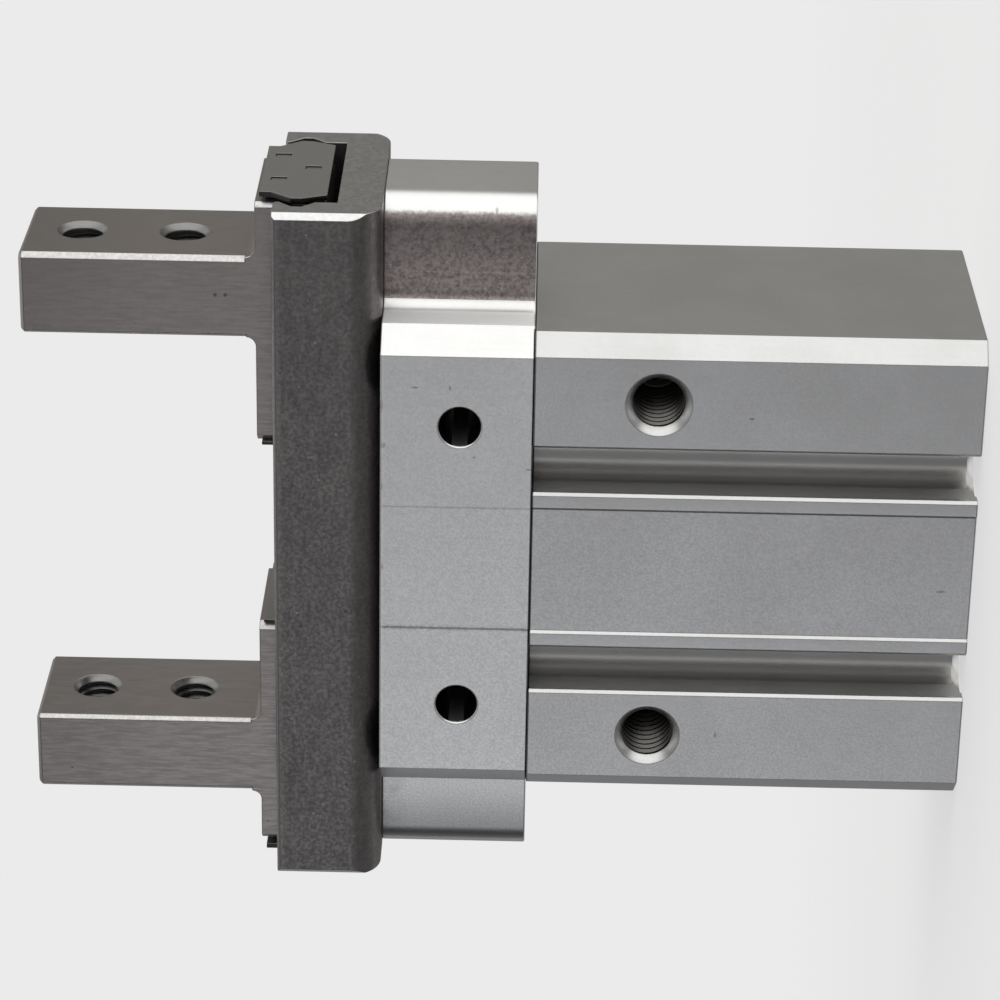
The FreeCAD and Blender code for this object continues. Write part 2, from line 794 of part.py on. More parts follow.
def make_stops(side, turn):
    profile = mirrored([
        ("stop_foot_half_width", f"{floor_top} + stop_foot_lift"),
        ("stop_ridge_half_width", f"{floor_top} + stop_ridge_lift - stop_ridge_half_height"),
        ("stop_ridge_half_width", f"{floor_top} + stop_ridge_lift + stop_ridge_half_height"),
        ("stop_neck_half_width", f"{floor_top} + stop_neck_lift"),
        ("stop_neck_half_width", f"{floor_top} + stop_top_lift"),
    ])
    outer = new_body(f"outer_stop_{side}")
    plate = sketch_on(outer, "YZ_Plane", "slider_outer + stop_gap")
    outline(plate, profile)
    pad(outer, plate, "stop_thickness")
    seat = sketch_on(outer, "YZ_Plane", "slider_outer")
    rectangle(seat, "-stop_pad_half_width", f"{floor_top} + stop_pad_low",
              "stop_pad_half_width", f"{floor_top} + stop_pad_high")
    pad(outer, seat, "stop_gap")

    # three short punch marks in the outer plate's face
    marks = sketch_on(outer, "YZ_Plane", "slider_outer + stop_gap + stop_thickness")
    for y, lift in (("mark_back", "mark_high"), ("mark_middle", "mark_low"), ("mark_front", "mark_high")):
        rectangle(marks, f"{y} - mark_half_width", f"{floor_top} + {lift} - mark_half_length",
                  f"{y} + mark_half_width", f"{floor_top} + {lift} + mark_half_length")
    pocket(outer, marks, "mark_depth")

    inner = new_body(f"inner_stop_{side}")
    plate = sketch_on(inner, "YZ_Plane", "slider_inner - inner_stop_thickness")
    outline(plate, profile)
    pad(inner, plate, "inner_stop_thickness")
    for body in (outer, inner):
        body.Placement.Rotation = side_turn(turn)


# Ball rows, front and back of each slider

def make_balls(side, sign):
    balls = []
    for row in ("", "-"):
        for number in range(balls_in_row):
            ball = doc.addObject("Part::Sphere", f"ball_{side}")
            bind(ball, "Radius", "ball_radius")
            balls.append(place(ball, (
                f"{sign}(ball_row_start + {number} * ball_pitch)",
                f"{row}ball_offset",
                ball_height,
            )))
    group(f"balls_{side}", balls)


# Levers, drawn upright about their pivot and then turned to the open position

def make_lever(side, turn, sign):
    body = new_body(f"lever_{side}")
    boss = sketch_on(body, "XZ_Plane")
    circle(boss, 0, 0, "boss_radius")
    pad(body, boss, "2 * boss_half_length", "Symmetric")
    arm = sketch_on(body, "XZ_Plane")
    outline(arm, mirrored([
        ("arm_root_half_width", "-arm_tip_half_width"),
        ("arm_tip_half_width", "arm_taper_end"),
        ("arm_tip_half_width", "lever_length"),
    ]))
    pad(body, arm, "2 * arm_half_thickness", "Symmetric")
    tip = sketch_on(body, "XZ_Plane")
    circle(tip, 0, "lever_length", "arm_tip_half_width")
    pad(body, tip, "2 * arm_half_thickness", "Symmetric")
    tongue = sketch_on(body, "XZ_Plane")
    rectangle(tongue, "-tongue_reach", "-tongue_half_height", "-arm_tip_half_width", "tongue_half_height")
    pad(body, tongue, "2 * tongue_half_thickness", "Symmetric")

    full_length = "2 * boss_half_length"
    slot = sketch_on(body, "XZ_Plane")
    rectangle(slot, "-tongue_reach - joint_pin_radius", "-joint_pin_radius - run_play",
              "-tongue_slot_end", "joint_pin_radius + run_play")
    pocket(body, slot, full_length, "Symmetric")
    slot_end = sketch_on(body, "XZ_Plane")
    circle(slot_end, "-tongue_slot_end", 0, "joint_pin_radius + run_play")
    pocket(body, slot_end, full_length, "Symmetric")
    fork = sketch_on(body, "XZ_Plane")
    rectangle(fork, "-2 * arm_tip_half_width", "lever_length - roller_radius - 4 * run_play",
              "2 * arm_tip_half_width", "lever_length + roller_radius")
    pocket(body, fork, "2 * (roller_half_length + run_play)", "Symmetric")
    eyes = ((0, "shaft_radius + seat_play"), ("lever_length", "roller_pin_radius + pin_play"))
    for height, radius in eyes:
        eye = sketch_on(body, "XZ_Plane")
        circle(eye, 0, height, radius)
        pocket(body, eye, full_length, "Symmetric")

    open_swing = FreeCAD.Rotation(FreeCAD.Vector(0, 1, 0), value("lever_swing"))
    place(body, (f"{sign}pivot_offset", 0, pivot_height), side_turn(turn) * open_swing)

    # the roller and its pin at the lever's tip
    tip_height = f"({pivot_height} + sqrt(lever_length ^ 2 - (finger_travel / 2) ^ 2))"
    tip_place = f"{sign}{roller_offset}"
    wheel = rod(f"wheel_{side}", "roller_radius", "2 * roller_half_length",
                (tip_place, "-roller_half_length", tip_height), along_y)
    eye = rod(f"wheel_eye_{side}", "roller_pin_radius + seat_play", "2 * roller_half_length",
              (tip_place, "-roller_half_length", tip_height), along_y)
    keep(f"roller_{side}", without(f"roller_{side}", wheel, eye))
    keep(f"roller_pin_{side}", rod(f"roller_pin_{side}", "roller_pin_radius", "2 * arm_half_thickness",
                                   (tip_place, "-arm_half_thickness", tip_height), along_y))


def make_lever_shafts():
    group("lever_shafts", [
        rod("shaft", "shaft_radius", "shaft_front + shaft_back",
            (f"{sign}pivot_offset", "-shaft_front", pivot_height), along_y)
        for sign in ("", "-")
    ])


# Piston, rod and the joint that drives the two levers

def make_piston():
    magnet_start = f"({piston_bottom} + retainer_thickness)"
    crown_start = f"({magnet_start} + magnet_length)"
    seal_start = f"({piston_bottom} + seal_lift)"
    seal_end = f"({seal_start} + seal_length)"
    piston_radius = "bore_radius - run_play"
    turned("piston", [
        (0, f"{piston_bottom} + run_play"),
        ("rivet_radius", f"{piston_bottom} + run_play"),
        ("rivet_radius", magnet_start),
        ("spigot_radius", magnet_start),
        ("spigot_radius", crown_start),
        (piston_radius, crown_start),
        (piston_radius, seal_start),
        ("seal_slot_floor", seal_start),
        ("seal_slot_floor", seal_end),
        (piston_radius, seal_end),
        (piston_radius, f"{piston_top} - piston_edge"),
        (f"{piston_radius} - piston_edge", piston_top),
        ("rod_radius + pin_play", piston_top),
        ("rod_radius + pin_play", f"{piston_top} - rod_grip"),
        (0, f"{piston_top} - rod_grip"),
    ])
    turned("magnet_retainer",
           ring_profile("rivet_radius + pin_play", "magnet_radius", piston_bottom, magnet_start))
    turned("piston_magnet",
           ring_profile("spigot_radius + pin_play", "magnet_radius", magnet_start, crown_start))
    turned("piston_seal", ring_profile("seal_slot_floor + pin_play", "bore_radius - seat_play",
                                       f"{seal_start} + run_play", f"{seal_end} - run_play"))
    turned("piston_rod", [
        (0, f"{piston_top} - rod_grip"),
        ("rod_radius", f"{piston_top} - rod_grip"),
        ("rod_radius", f"{joint_height} - joint_drop + rod_socket"),
        (0, f"{joint_height} - joint_drop + rod_socket"),
    ])


def make_rod_joint():
    body = new_body("rod_joint")
    cheeks = sketch_on(body, "XZ_Plane")
    rectangle(cheeks, "-joint_half_width", f"{joint_height} - joint_drop",
              "joint_half_width", f"{joint_height} + joint_top")
    pad(body, cheeks, "2 * joint_half_depth", "Symmetric")
    slot = sketch_on(body, "YZ_Plane")
    rectangle(slot, "-joint_slot_half", f"{joint_height} - joint_slot_drop",
              "joint_slot_half", f"{joint_height} + joint_top")
    pocket(body, slot, "2 * joint_half_width", "Symmetric")
    pin_place = "(pivot_offset - crank_arm)"
    pins = sketch_on(body, "XZ_Plane")
    circle(pins, pin_place, joint_height, "joint_pin_radius + pin_play")
    circle(pins, f"-{pin_place}", joint_height, "joint_pin_radius + pin_play")
    pocket(body, pins, "2 * joint_half_depth", "Symmetric")
    holes(body, "XY_Plane", f"{joint_height} - joint_drop", [(0, 0)], "rod_radius + pin_play", "rod_socket",
          forward=True)
    group("joint_pins", [
        rod("joint_pin", "joint_pin_radius", "2 * joint_half_depth",
            (f"{sign}{pin_place}", "-joint_half_depth", joint_height), along_y)
        for sign in ("", "-")
    ])


# The two ends of the cylinder

def make_rod_cover():
    seal_end = "rod_seal_start + rod_seal_length"
    cover_radius = "cover_seat_radius - seat_play"
    turned("rod_cover", [
        ("rod_radius + run_play", "cover_seat_start"),
        (cover_radius, "cover_seat_start"),
        (cover_radius, "cover_seal_height - cover_seal_slot_half"),
        ("cover_seal_slot_floor", "cover_seal_height - cover_seal_slot_half"),
        ("cover_seal_slot_floor", "cover_seal_height + cover_seal_slot_half"),
        (cover_radius, "cover_seal_height + cover_seal_slot_half"),
        (cover_radius, "body_length"),
        ("rod_radius + run_play", "body_length"),
        ("rod_radius + run_play", seal_end),
        ("rod_seal_slot_radius", seal_end),
        ("rod_seal_slot_radius", "rod_seal_start"),
        ("rod_radius + run_play", "rod_seal_start"),
    ])
    turned("rod_seal", ring_profile("rod_radius + seat_play", "rod_seal_slot_radius - pin_play",
                                    "rod_seal_start + run_play", f"{seal_end} - run_play"))
    turned("rod_bumper", ring_profile("rod_radius + 2 * end_gap", "bumper_radius",
                                      "cover_seat_start - rod_bumper_thickness", "cover_seat_start"))
    gasket = doc.addObject("Part::Torus", "cover_gasket")
    bind(gasket, "Radius1", "cover_seal_ring")
    bind(gasket, "Radius2", "cover_seal_cord")
    keep("cover_gasket", place(gasket, (0, 0, "cover_seal_height")))


def make_rear_cap():
    seal_height = "((cap_inset + cap_seat_depth) / 2)"
    cap_radius = "cap_seat_radius - seat_play"
    turned("rear_cap", [
        (0, "cap_inset + cap_dish_depth"),
        ("cap_dish_radius - cap_dish_depth", "cap_inset + cap_dish_depth"),
        ("cap_dish_radius", "cap_inset"),
        (cap_radius, "cap_inset"),
        (cap_radius, f"{seal_height} - cap_seal_slot_half"),
        ("cap_seal_slot_floor", f"{seal_height} - cap_seal_slot_half"),
        ("cap_seal_slot_floor", f"{seal_height} + cap_seal_slot_half"),
        (cap_radius, f"{seal_height} + cap_seal_slot_half"),
        (cap_radius, "cap_seat_depth"),
        (0, "cap_seat_depth"),
    ])
    turned("cap_bumper", ring_profile("rod_radius", "bumper_radius", "cap_seat_depth",
                                      "cap_seat_depth + cap_bumper_thickness"))
    seal = doc.addObject("Part::Torus", "cap_seal")
    bind(seal, "Radius1", "cap_seal_ring")
    bind(seal, "Radius2", "cap_seal_cord")
    keep("cap_seal", place(seal, (0, 0, seal_height)))

    # snap ring with two eyed lugs beside its gap
    low = "ring_start + (ring_slot - ring_thickness) / 2"
    ring = without("ring_band", rod("ring_disc", "ring_outer_radius", "ring_thickness", (0, 0, low)),
                   rod("ring_hole", "ring_inner_radius", "ring_thickness", (0, 0, low)))
    gap = block("ring_gap", ("2 * ring_gap_half_width", "ring_outer_radius", "ring_thickness"),
                ("-ring_gap_half_width", "-ring_outer_radius", low))
    ring = without("ring_split", ring, gap)
    for sign in ("", "-"):
        middle = (f"{sign}ring_lug_offset", "-ring_lug_drop", low)
        ring = joined("ring_lugged", ring, rod("ring_lug", "ring_lug_radius", "ring_thickness", middle))
        ring = without("ring_eyed", ring, rod("ring_eye", "ring_eye_radius", "ring_thickness", middle))
    keep("cap_ring", ring)


# Screws and dowels

def socket_screw(name, radius, length, head_radius, head_length, key, base, turn):
    # drawn with its head's top at the base point and its shank running along the turned -Z
    head = rod(name + "_head", head_radius, head_length, (0, 0, f"-{head_length}"))
    shank = rod(name + "_shank", radius, length, (0, 0, f"-{head_length} - {length}"))
    socket = doc.addObject("Part::Prism", name + "_socket")
    socket.Polygon = 6
    bind(socket, "Circumradius", key)
    bind(socket, "Height", f"{head_length} / 2")
    place(socket, (0, 0, f"-{head_length} / 2"))
    return place(without(name, joined(name + "_blank", head, shank), socket), base, turn)


def make_fasteners():
    sink_floor = f"({head_top} - head_screw_sink_depth)"
    group("head_screws", [
        socket_screw("head_screw", "head_screw_radius",
                     f"({sink_floor} - {head_bottom} + head_screw_thread)",
                     "head_screw_head_radius", "head_screw_head_length", "head_screw_key",
                     (x, y, f"{sink_floor} + head_screw_head_length"), FreeCAD.Rotation())
        for x, y in head_screw_places
    ])
    upside_down = FreeCAD.Rotation(FreeCAD.Vector(1, 0, 0), half_turn)
    sink_roof = f"({head_bottom} + rail_screw_sink_depth)"
    group("rail_screws", [
        socket_screw("rail_screw", "rail_screw_radius", f"({floor_top} - rail_screw_tip_gap - {sink_roof})",
                     "rail_screw_head_radius", "rail_screw_head_length", "rail_screw_key",
                     (x, y, f"{sink_roof} - rail_screw_head_length"), upside_down)
        for x, y in rail_screw_places
    ])
    group("head_dowels", [
        rod("head_dowel", "head_dowel_radius", "2 * head_dowel_half_length",
            (x, y, f"{head_bottom} - head_dowel_half_length"))
        for x, y in head_dowel_places
    ])
    group("rail_dowels", [
        rod("rail_dowel", "rail_dowel_radius", f"({floor_top} - run_play - {head_top} + rail_dowel_depth)",
            (x, y, f"{head_top} - rail_dowel_depth"))
        for x, y in rail_dowel_places
    ])


# The stated swing and stroke have to follow from the lever's arms and the finger travel
swing = math.asin(value("finger_travel / 2 / lever_length"))
if abs(math.degrees(swing) - value("lever_swing")) > drive_slack:
    raise RuntimeError("lever_swing doesn't fit the finger travel")
if abs(2 * value("crank_arm") * math.tan(swing) - value("piston_stroke")) > drive_slack:
    raise RuntimeError("piston_stroke doesn't fit the lever swing")

make_cylinder_body()
make_head_block()
make_guide_rail()
for side, turn in sides.items():
    sign = "-" if turn else ""
    make_finger(side, turn)
    make_stops(side, turn)
    make_balls(side, sign)
    make_lever(side, turn, sign)
make_lever_shafts()
make_piston()
make_rod_joint()
make_rod_cover()
make_rear_cap()
make_fasteners()
doc.recompute()

for thing in doc.Objects:
    if {"Invalid", "Error"} & set(thing.State):
        raise RuntimeError(f"{thing.Label} failed: {thing.State}")
for label, thing in subparts.items():
    if thing.Shape.isNull() or not thing.Shape.isValid():
        raise RuntimeError(f"{label} has no valid shape")

os.makedirs("parts", exist_ok=True)
for label, thing in subparts.items():
    thing.Shape.exportStep(f"parts/{label}.step")
    box = thing.Shape.BoundBox
    spans = ((box.XMin, box.XMax), (box.YMin, box.YMax), (box.ZMin, box.ZMax))
    reach = "  ".join(f"{low:7.2f} {high:7.2f}" for low, high in spans)
    print(f"{label:18s} {len(thing.Shape.Solids)} solids  {thing.Shape.Volume:9.1f} mm3  {reach}")
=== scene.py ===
import json
import math

import bmesh
import bpy
from mathutils import Euler, Matrix, Vector

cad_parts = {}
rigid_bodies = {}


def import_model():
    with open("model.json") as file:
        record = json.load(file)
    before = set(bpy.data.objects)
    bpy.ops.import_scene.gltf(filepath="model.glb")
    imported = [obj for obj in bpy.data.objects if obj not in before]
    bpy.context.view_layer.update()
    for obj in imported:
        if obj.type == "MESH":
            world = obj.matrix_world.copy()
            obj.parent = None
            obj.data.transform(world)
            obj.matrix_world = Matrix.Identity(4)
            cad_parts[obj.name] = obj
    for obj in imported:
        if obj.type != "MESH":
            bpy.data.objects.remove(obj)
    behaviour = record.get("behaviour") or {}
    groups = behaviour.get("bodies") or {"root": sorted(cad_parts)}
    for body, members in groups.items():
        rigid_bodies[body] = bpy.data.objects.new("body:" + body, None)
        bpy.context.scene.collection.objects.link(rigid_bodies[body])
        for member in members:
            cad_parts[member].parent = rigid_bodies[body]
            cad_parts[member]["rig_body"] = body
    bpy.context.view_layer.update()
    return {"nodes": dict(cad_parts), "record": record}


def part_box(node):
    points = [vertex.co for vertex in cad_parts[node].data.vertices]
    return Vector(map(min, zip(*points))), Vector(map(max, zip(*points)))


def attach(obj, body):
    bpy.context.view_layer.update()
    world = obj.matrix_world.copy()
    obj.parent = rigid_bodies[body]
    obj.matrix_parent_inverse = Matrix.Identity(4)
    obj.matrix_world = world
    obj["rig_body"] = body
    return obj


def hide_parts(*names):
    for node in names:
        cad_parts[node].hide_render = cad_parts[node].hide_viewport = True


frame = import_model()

mm = 0.001
scene = bpy.context.scene
mounts = {mount["name"]: mount for mount in frame["record"]["mounts"]}
print("frame loaded:", len(frame["nodes"]), "pieces")


# Camera: the gripper stands on its rear face, and the picture is taken turned on its side

cameraSetup = {
    "place": (127.94 * mm, -279.06 * mm, 36.32 * mm),
    "forward": (-0.41423349, 0.91013864, 0.00763322),
    "right": (0.01607207, 0.01569968, -0.99974757),
    "lens": 130.94,
}

forward = Vector(cameraSetup["forward"]).normalized()
right = Vector(cameraSetup["right"]).normalized()
up = right.cross(forward)
turn = Matrix((right, up, -forward)).transposed().to_4x4()
cameraData = bpy.data.cameras.new("viewCamera")
cameraData.lens = cameraSetup["lens"]
cameraData.clip_start = 0.01
camera = bpy.data.objects.new("viewCamera", cameraData)
camera.matrix_world = Matrix.Translation(cameraSetup["place"]) @ turn
scene.collection.objects.link(camera)
scene.camera = camera
print("camera set")


# Node helpers shared by the materials, the groups, the light and the geometry trees

def addNode(tree, kind, inputs=None, **settings):
    node = tree.nodes.new(kind)
    for name, value in settings.items():
        setattr(node, name, value)
    for name, value in (inputs or {}).items():
        if isinstance(value, bpy.types.NodeSocket):
            tree.links.new(value, node.inputs[name])
        else:
            node.inputs[name].default_value = value
    return node


def calc(tree, operation, first, second=0.0, third=0.0):
    inputs = {0: first, 1: second}
    if operation in ("MULTIPLY_ADD", "COMPARE"):
        inputs[2] = third
    return addNode(tree, "ShaderNodeMath", inputs, operation=operation).outputs[0]


def spread(tree, value, low, high, toLow=0.0, toHigh=1.0):        # clamped map from one range to another
    ranges = {"Value": value, "From Min": low, "From Max": high, "To Min": toLow, "To Max": toHigh}
    return addNode(tree, "ShaderNodeMapRange", ranges, interpolation_type="SMOOTHSTEP").outputs["Result"]


def onVectors(tree, operation, first, second=None):
    inputs = {0: first} if second is None else {0: first, 1: second}
    node = addNode(tree, "ShaderNodeVectorMath", inputs, operation=operation)
    return node.outputs["Value" if operation in ("DOT_PRODUCT", "LENGTH") else "Vector"]


def tint(tree, amount, plain, marked, share=1.0):        # share weakens the mask
    weak = amount if share == 1.0 else calc(tree, "MULTIPLY", amount, share)
    mix = addNode(tree, "ShaderNodeMix", {0: weak, 6: plain, 7: marked}, data_type="RGBA")
    return mix.outputs[2]


def grey(level, warmth=0.0):        # warm steels lean to yellow, cold ones to blue
    return (level * (1 + warmth), level, level * (1 - 1.6 * warmth), 1.0)


def newGroup(name, inputs, outputs):
    group = bpy.data.node_groups.new(name, "ShaderNodeTree")
    for label, start in inputs.items():
        kind = "NodeSocketVector" if isinstance(start, tuple) else "NodeSocketFloat"
        group.interface.new_socket(label, in_out="INPUT", socket_type=kind).default_value = start
    for label in outputs:
        group.interface.new_socket(label, in_out="OUTPUT", socket_type="NodeSocketFloat")
    return group, addNode(group, "NodeGroupInput").outputs, addNode(group, "NodeGroupOutput")


def use(tree, group, **inputs):
    labels = {name[0].upper() + name[1:]: value for name, value in inputs.items()}
    return addNode(tree, "ShaderNodeGroup", labels, node_tree=group).outputs[0]


# Shared surface effects: each group puts out one mask

def makeGrain():        # even fine mottle, as blasting or casting leaves it
    group, given, result = newGroup("grain", {
        "Vector": (0.0, 0.0, 0.0), "Scale": 6.0, "Contrast": 0.2,
    }, ["Mask"])
    noise = addNode(group, "ShaderNodeTexNoise", {
        "Vector": given["Vector"], "Scale": given["Scale"], "Detail": 4.0, "Roughness": 0.62,
    })
    low = calc(group, "SUBTRACT", 0.5, given["Contrast"])
    high = calc(group, "ADD", 0.5, given["Contrast"])
    group.links.new(spread(group, noise.outputs["Fac"], low, high), result.inputs["Mask"])
    return group


def makeBrushing():        # long fine lines, one way
    group, given, result = newGroup("brushing", {
        "Vector": (0.0, 0.0, 0.0), "Stretch": (9.0, 9.0, 0.4),
    }, ["Mask"])
    drawn = onVectors(group, "MULTIPLY", given["Vector"], given["Stretch"])
    noise = addNode(group, "ShaderNodeTexNoise", {
        "Vector": drawn, "Scale": 1.0, "Detail": 5.0, "Roughness": 0.7, "Distortion": 0.15,
    })
    group.links.new(spread(group, noise.outputs["Fac"], 0.3, 0.7), result.inputs["Mask"])
    return group


def makePits():        # scattered small dots
    group, given, result = newGroup("pits", {
        "Vector": (0.0, 0.0, 0.0), "Scale": 1.0, "Share": 0.2, "Size": 0.12,
    }, ["Mask"])
    cells = addNode(group, "ShaderNodeTexVoronoi", {
        "Vector": given["Vector"], "Scale": given["Scale"], "Randomness": 1.0,
    })
    chance = addNode(group, "ShaderNodeSeparateColor", {"Color": cells.outputs["Color"]}).outputs["Red"]
    chosen = calc(group, "LESS_THAN", chance, given["Share"])
    core = calc(group, "MULTIPLY", given["Size"], 0.5)
    dot = spread(group, cells.outputs["Distance"], core, given["Size"], 1.0, 0.0)
    group.links.new(calc(group, "MULTIPLY", chosen, dot), result.inputs["Mask"])
    return group


def makeScratches():        # sparse thin handling marks
    group, given, result = newGroup("scratches", {
        "Vector": (0.0, 0.0, 0.0), "Turn": (0.0, 0.0, 0.0), "Stretch": (0.3, 3.0, 6.0), "Share": 0.2,
    }, ["Mask"])
    laid = addNode(group, "ShaderNodeMapping", {
        "Vector": given["Vector"], "Rotation": given["Turn"], "Scale": given["Stretch"],
    })
    cells = addNode(group, "ShaderNodeTexVoronoi", {
        "Vector": laid.outputs["Vector"], "Scale": 1.0, "Randomness": 1.0,
    })
    chance = addNode(group, "ShaderNodeSeparateColor", {"Color": cells.outputs["Color"]}).outputs["Green"]
    chosen = calc(group, "LESS_THAN", chance, given["Share"])
    line = spread(group, cells.outputs["Distance"], 0.05, 0.22, 1.0, 0.0)
    group.links.new(calc(group, "MULTIPLY", chosen, line), result.inputs["Mask"])
    return group


def makeEdgeRub():        # corners rubbed bright, broken up by a noise
    group, given, result = newGroup("edgeRub", {"Vector": (0.0, 0.0, 0.0), "Reach": 0.1 * mm}, ["Mask"])
    rounded = addNode(group, "ShaderNodeBevel", {"Radius": given["Reach"]}, samples=6).outputs["Normal"]
    facing = addNode(group, "ShaderNodeNewGeometry").outputs["Normal"]
    along = onVectors(group, "DOT_PRODUCT", rounded, facing)
    corner = spread(group, along, 0.97, 0.8, 0.0, 1.0)
    noise = addNode(group, "ShaderNodeTexNoise", {"Vector": given["Vector"], "Scale": 0.9, "Detail": 5.0})
    broken = spread(group, noise.outputs["Fac"], 0.35, 0.6)
    group.links.new(calc(group, "MULTIPLY", corner, broken), result.inputs["Mask"])
    return group


def makePaintedBoreShade():        # painted shade on the walls of a pair of holes, below their countersinks
    group, given, result = newGroup("boreShade", {
        "Vector": (0.0, 0.0, 0.0), "Fold": (0.0, 0.0, 0.0),
        "Middle": (0.0, 0.0, 0.0), "Inward": (0.0, -1.0, 0.0),
        "Face": 0.0, "Radius": 2.0, "Countersink": 0.3, "Depth": 60.0,
    }, ["Mask"])
    folded = onVectors(group, "ABSOLUTE", onVectors(group, "SUBTRACT", given["Vector"], given["Fold"]))
    across = onVectors(group, "SUBTRACT", (1.0, 1.0, 1.0), onVectors(group, "ABSOLUTE", given["Inward"]))
    aside = onVectors(group, "MULTIPLY", onVectors(group, "SUBTRACT", folded, given["Middle"]), across)
    away = onVectors(group, "LENGTH", aside)
    fromFace = calc(group, "ADD", onVectors(group, "DOT_PRODUCT", folded, given["Inward"]), given["Face"])
    fromBack = calc(group, "SUBTRACT", given["Depth"], fromFace)
    deep = calc(group, "MINIMUM", fromFace, fromBack)
    mouth = calc(group, "ADD", given["Radius"], given["Countersink"])
    within = calc(group, "LESS_THAN", away, mouth)
    below = spread(group, calc(group, "SUBTRACT", calc(group, "ADD", away, deep), mouth), 0.0, 0.12)
    group.links.new(calc(group, "MULTIPLY", within, below), result.inputs["Mask"])
    return group


def makeSmudge():        # one small ragged mark at a chosen place
    group, given, result = newGroup("smudge", {
        "Vector": (0.0, 0.0, 0.0), "Place": (0.0, 0.0, 0.0), "Size": (0.3, 0.3, 0.3),
    }, ["Mask"])
    offset = onVectors(group, "SUBTRACT", given["Vector"], given["Place"])
    aside = onVectors(group, "DIVIDE", offset, given["Size"])
    noise = addNode(group, "ShaderNodeTexNoise", {"Vector": given["Vector"], "Scale": 7.0, "Detail": 3.0})
    ragged = calc(group, "MULTIPLY_ADD", noise.outputs["Fac"], 1.2, onVectors(group, "LENGTH", aside))
    group.links.new(spread(group, ragged, 1.0, 1.5, 1.0, 0.0), result.inputs["Mask"])
    return group


grain = makeGrain()
brushing = makeBrushing()
pits = makePits()
scratches = makeScratches()
edgeRub = makeEdgeRub()
boreShade = makePaintedBoreShade()
smudge = makeSmudge()


def newMaterial(name, metallic=1.0):
    material = bpy.data.materials.new(name)
    material.use_nodes = True
    tree = material.node_tree
    tree.nodes.clear()
    shader = addNode(tree, "ShaderNodeBsdfPrincipled", {"Metallic": metallic})
    addNode(tree, "ShaderNodeOutputMaterial", {"Surface": shader.outputs["BSDF"]})
    place = addNode(tree, "ShaderNodeTexCoord")
    scaling = {0: place.outputs["Object"], "Scale": 1 / mm}
    inMm = addNode(tree, "ShaderNodeVectorMath", scaling, operation="SCALE").outputs["Vector"]
    return material, tree, shader, inMm, place.outputs["Normal"]


def finish(tree, shader, colour, roughness, height=None, depth=0.01 * mm, strength=0.4):
    tree.links.new(colour, shader.inputs["Base Color"])
    tree.links.new(roughness, shader.inputs["Roughness"])
    if height is not None:
        relief = {"Height": height, "Strength": strength, "Distance": depth}
        bump = addNode(tree, "ShaderNodeBump", relief)
        tree.links.new(bump.outputs["Normal"], shader.inputs["Normal"])


# Holes whose walls get painted shade, in mm

def holePlaces():
    port = [value / mm for value in mounts["air_port_right"]["pos_m"]]
    sides = mounts["side_holes"]
    fingers = mounts["finger_right_threads"]
    rear = mounts["rear_threads"]["dims"]
    bodyFront = -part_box("cylinder_body")[0].y / mm
    headFront = -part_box("head_block")[0].y / mm
    fingerFace = fingers["pos_m"][0] / mm
    fingerMiddle = fingers["pos_m"][2] / mm
    fingerBlade = 6.95        # thickness of a finger
    return {
        "port": {
            "middle": (port[0], 0.0, port[2]), "inward": (0.0, -1.0, 0.0), "face": bodyFront,
            "radius": mounts["air_port_right"]["dims"]["r_mm"], "countersink": 0.6,
        },
        "rear": {
            "middle": (rear["spacing_x_mm"] / 2, 0.0, 0.0), "inward": (0.0, 0.0, 1.0), "face": 0.0,
            "radius": rear["hole_r_mm"], "countersink": 0.4,
        },
        "side": {
            "middle": (sides["dims"]["spacing_x_mm"] / 2, 0.0, sides["pos_m"][2] / mm),
            "inward": (0.0, -1.0, 0.0), "face": headFront,
            "radius": sides["dims"]["hole_r_mm"], "countersink": 0.12,
        },
        "finger": {
            "fold": (0.0, 0.0, fingerMiddle), "middle": (0.0, 0.0, fingers["dims"]["spacing_y_mm"] / 2),
            "inward": (-1.0, 0.0, 0.0), "face": fingerFace, "radius": fingers["dims"]["hole_r_mm"],
            "countersink": 0.46, "depth": fingerBlade,
        },
    }


holes = holePlaces()
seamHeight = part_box("head_block")[0].z / mm
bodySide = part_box("cylinder_body")[1].x / mm
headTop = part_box("head_block")[1].z / mm
lipReach = 0.4        # height of the slanting lips along the rail's top
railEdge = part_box("guide_rail")[1].z / mm - lipReach


# Clear anodised aluminium, for the body, the head and the rear cap

anodisedLook = {
    "base": 0.68,
    "stain": 0.62,
    "rubbed": 0.84,
    "speck": 0.2,
    "roughness": (0.28, 0.36),
    "grainScale": 6.0,
    "bore": 0.15,
    "seamDark": 0.05,
    "seam": (0.15, 0.7),        # half width of the darker band along the seam in mm, and its strength
    "relief": 0.002,        # mm
    "grooveShade": 0.5,
    "grooveRoughness": (0.55, 0.3),        # of the walls and of the floor
    "grooveOffset": 8.93,        # mm, where the switch grooves run
    "grooveReach": 2.1,
    "grooveMouth": 0.6,        # mm below the port face, where the bare walls start
    "grooveWalls": (2.3, 3.0),        # mm below the port face, where the walls turn into the round floor
    "grooveFloor": (4.55, 4.3),
    "scuffs": [
        ((13.87, -11.8, 18.56), (0.16, 0.4, 0.3)),
        ((-14.73, -11.8, 20.35), (0.4, 0.4, 0.12)),
        ((-1.2, -11.6, 2.47), (0.14, 0.4, 0.6)),
    ],
}


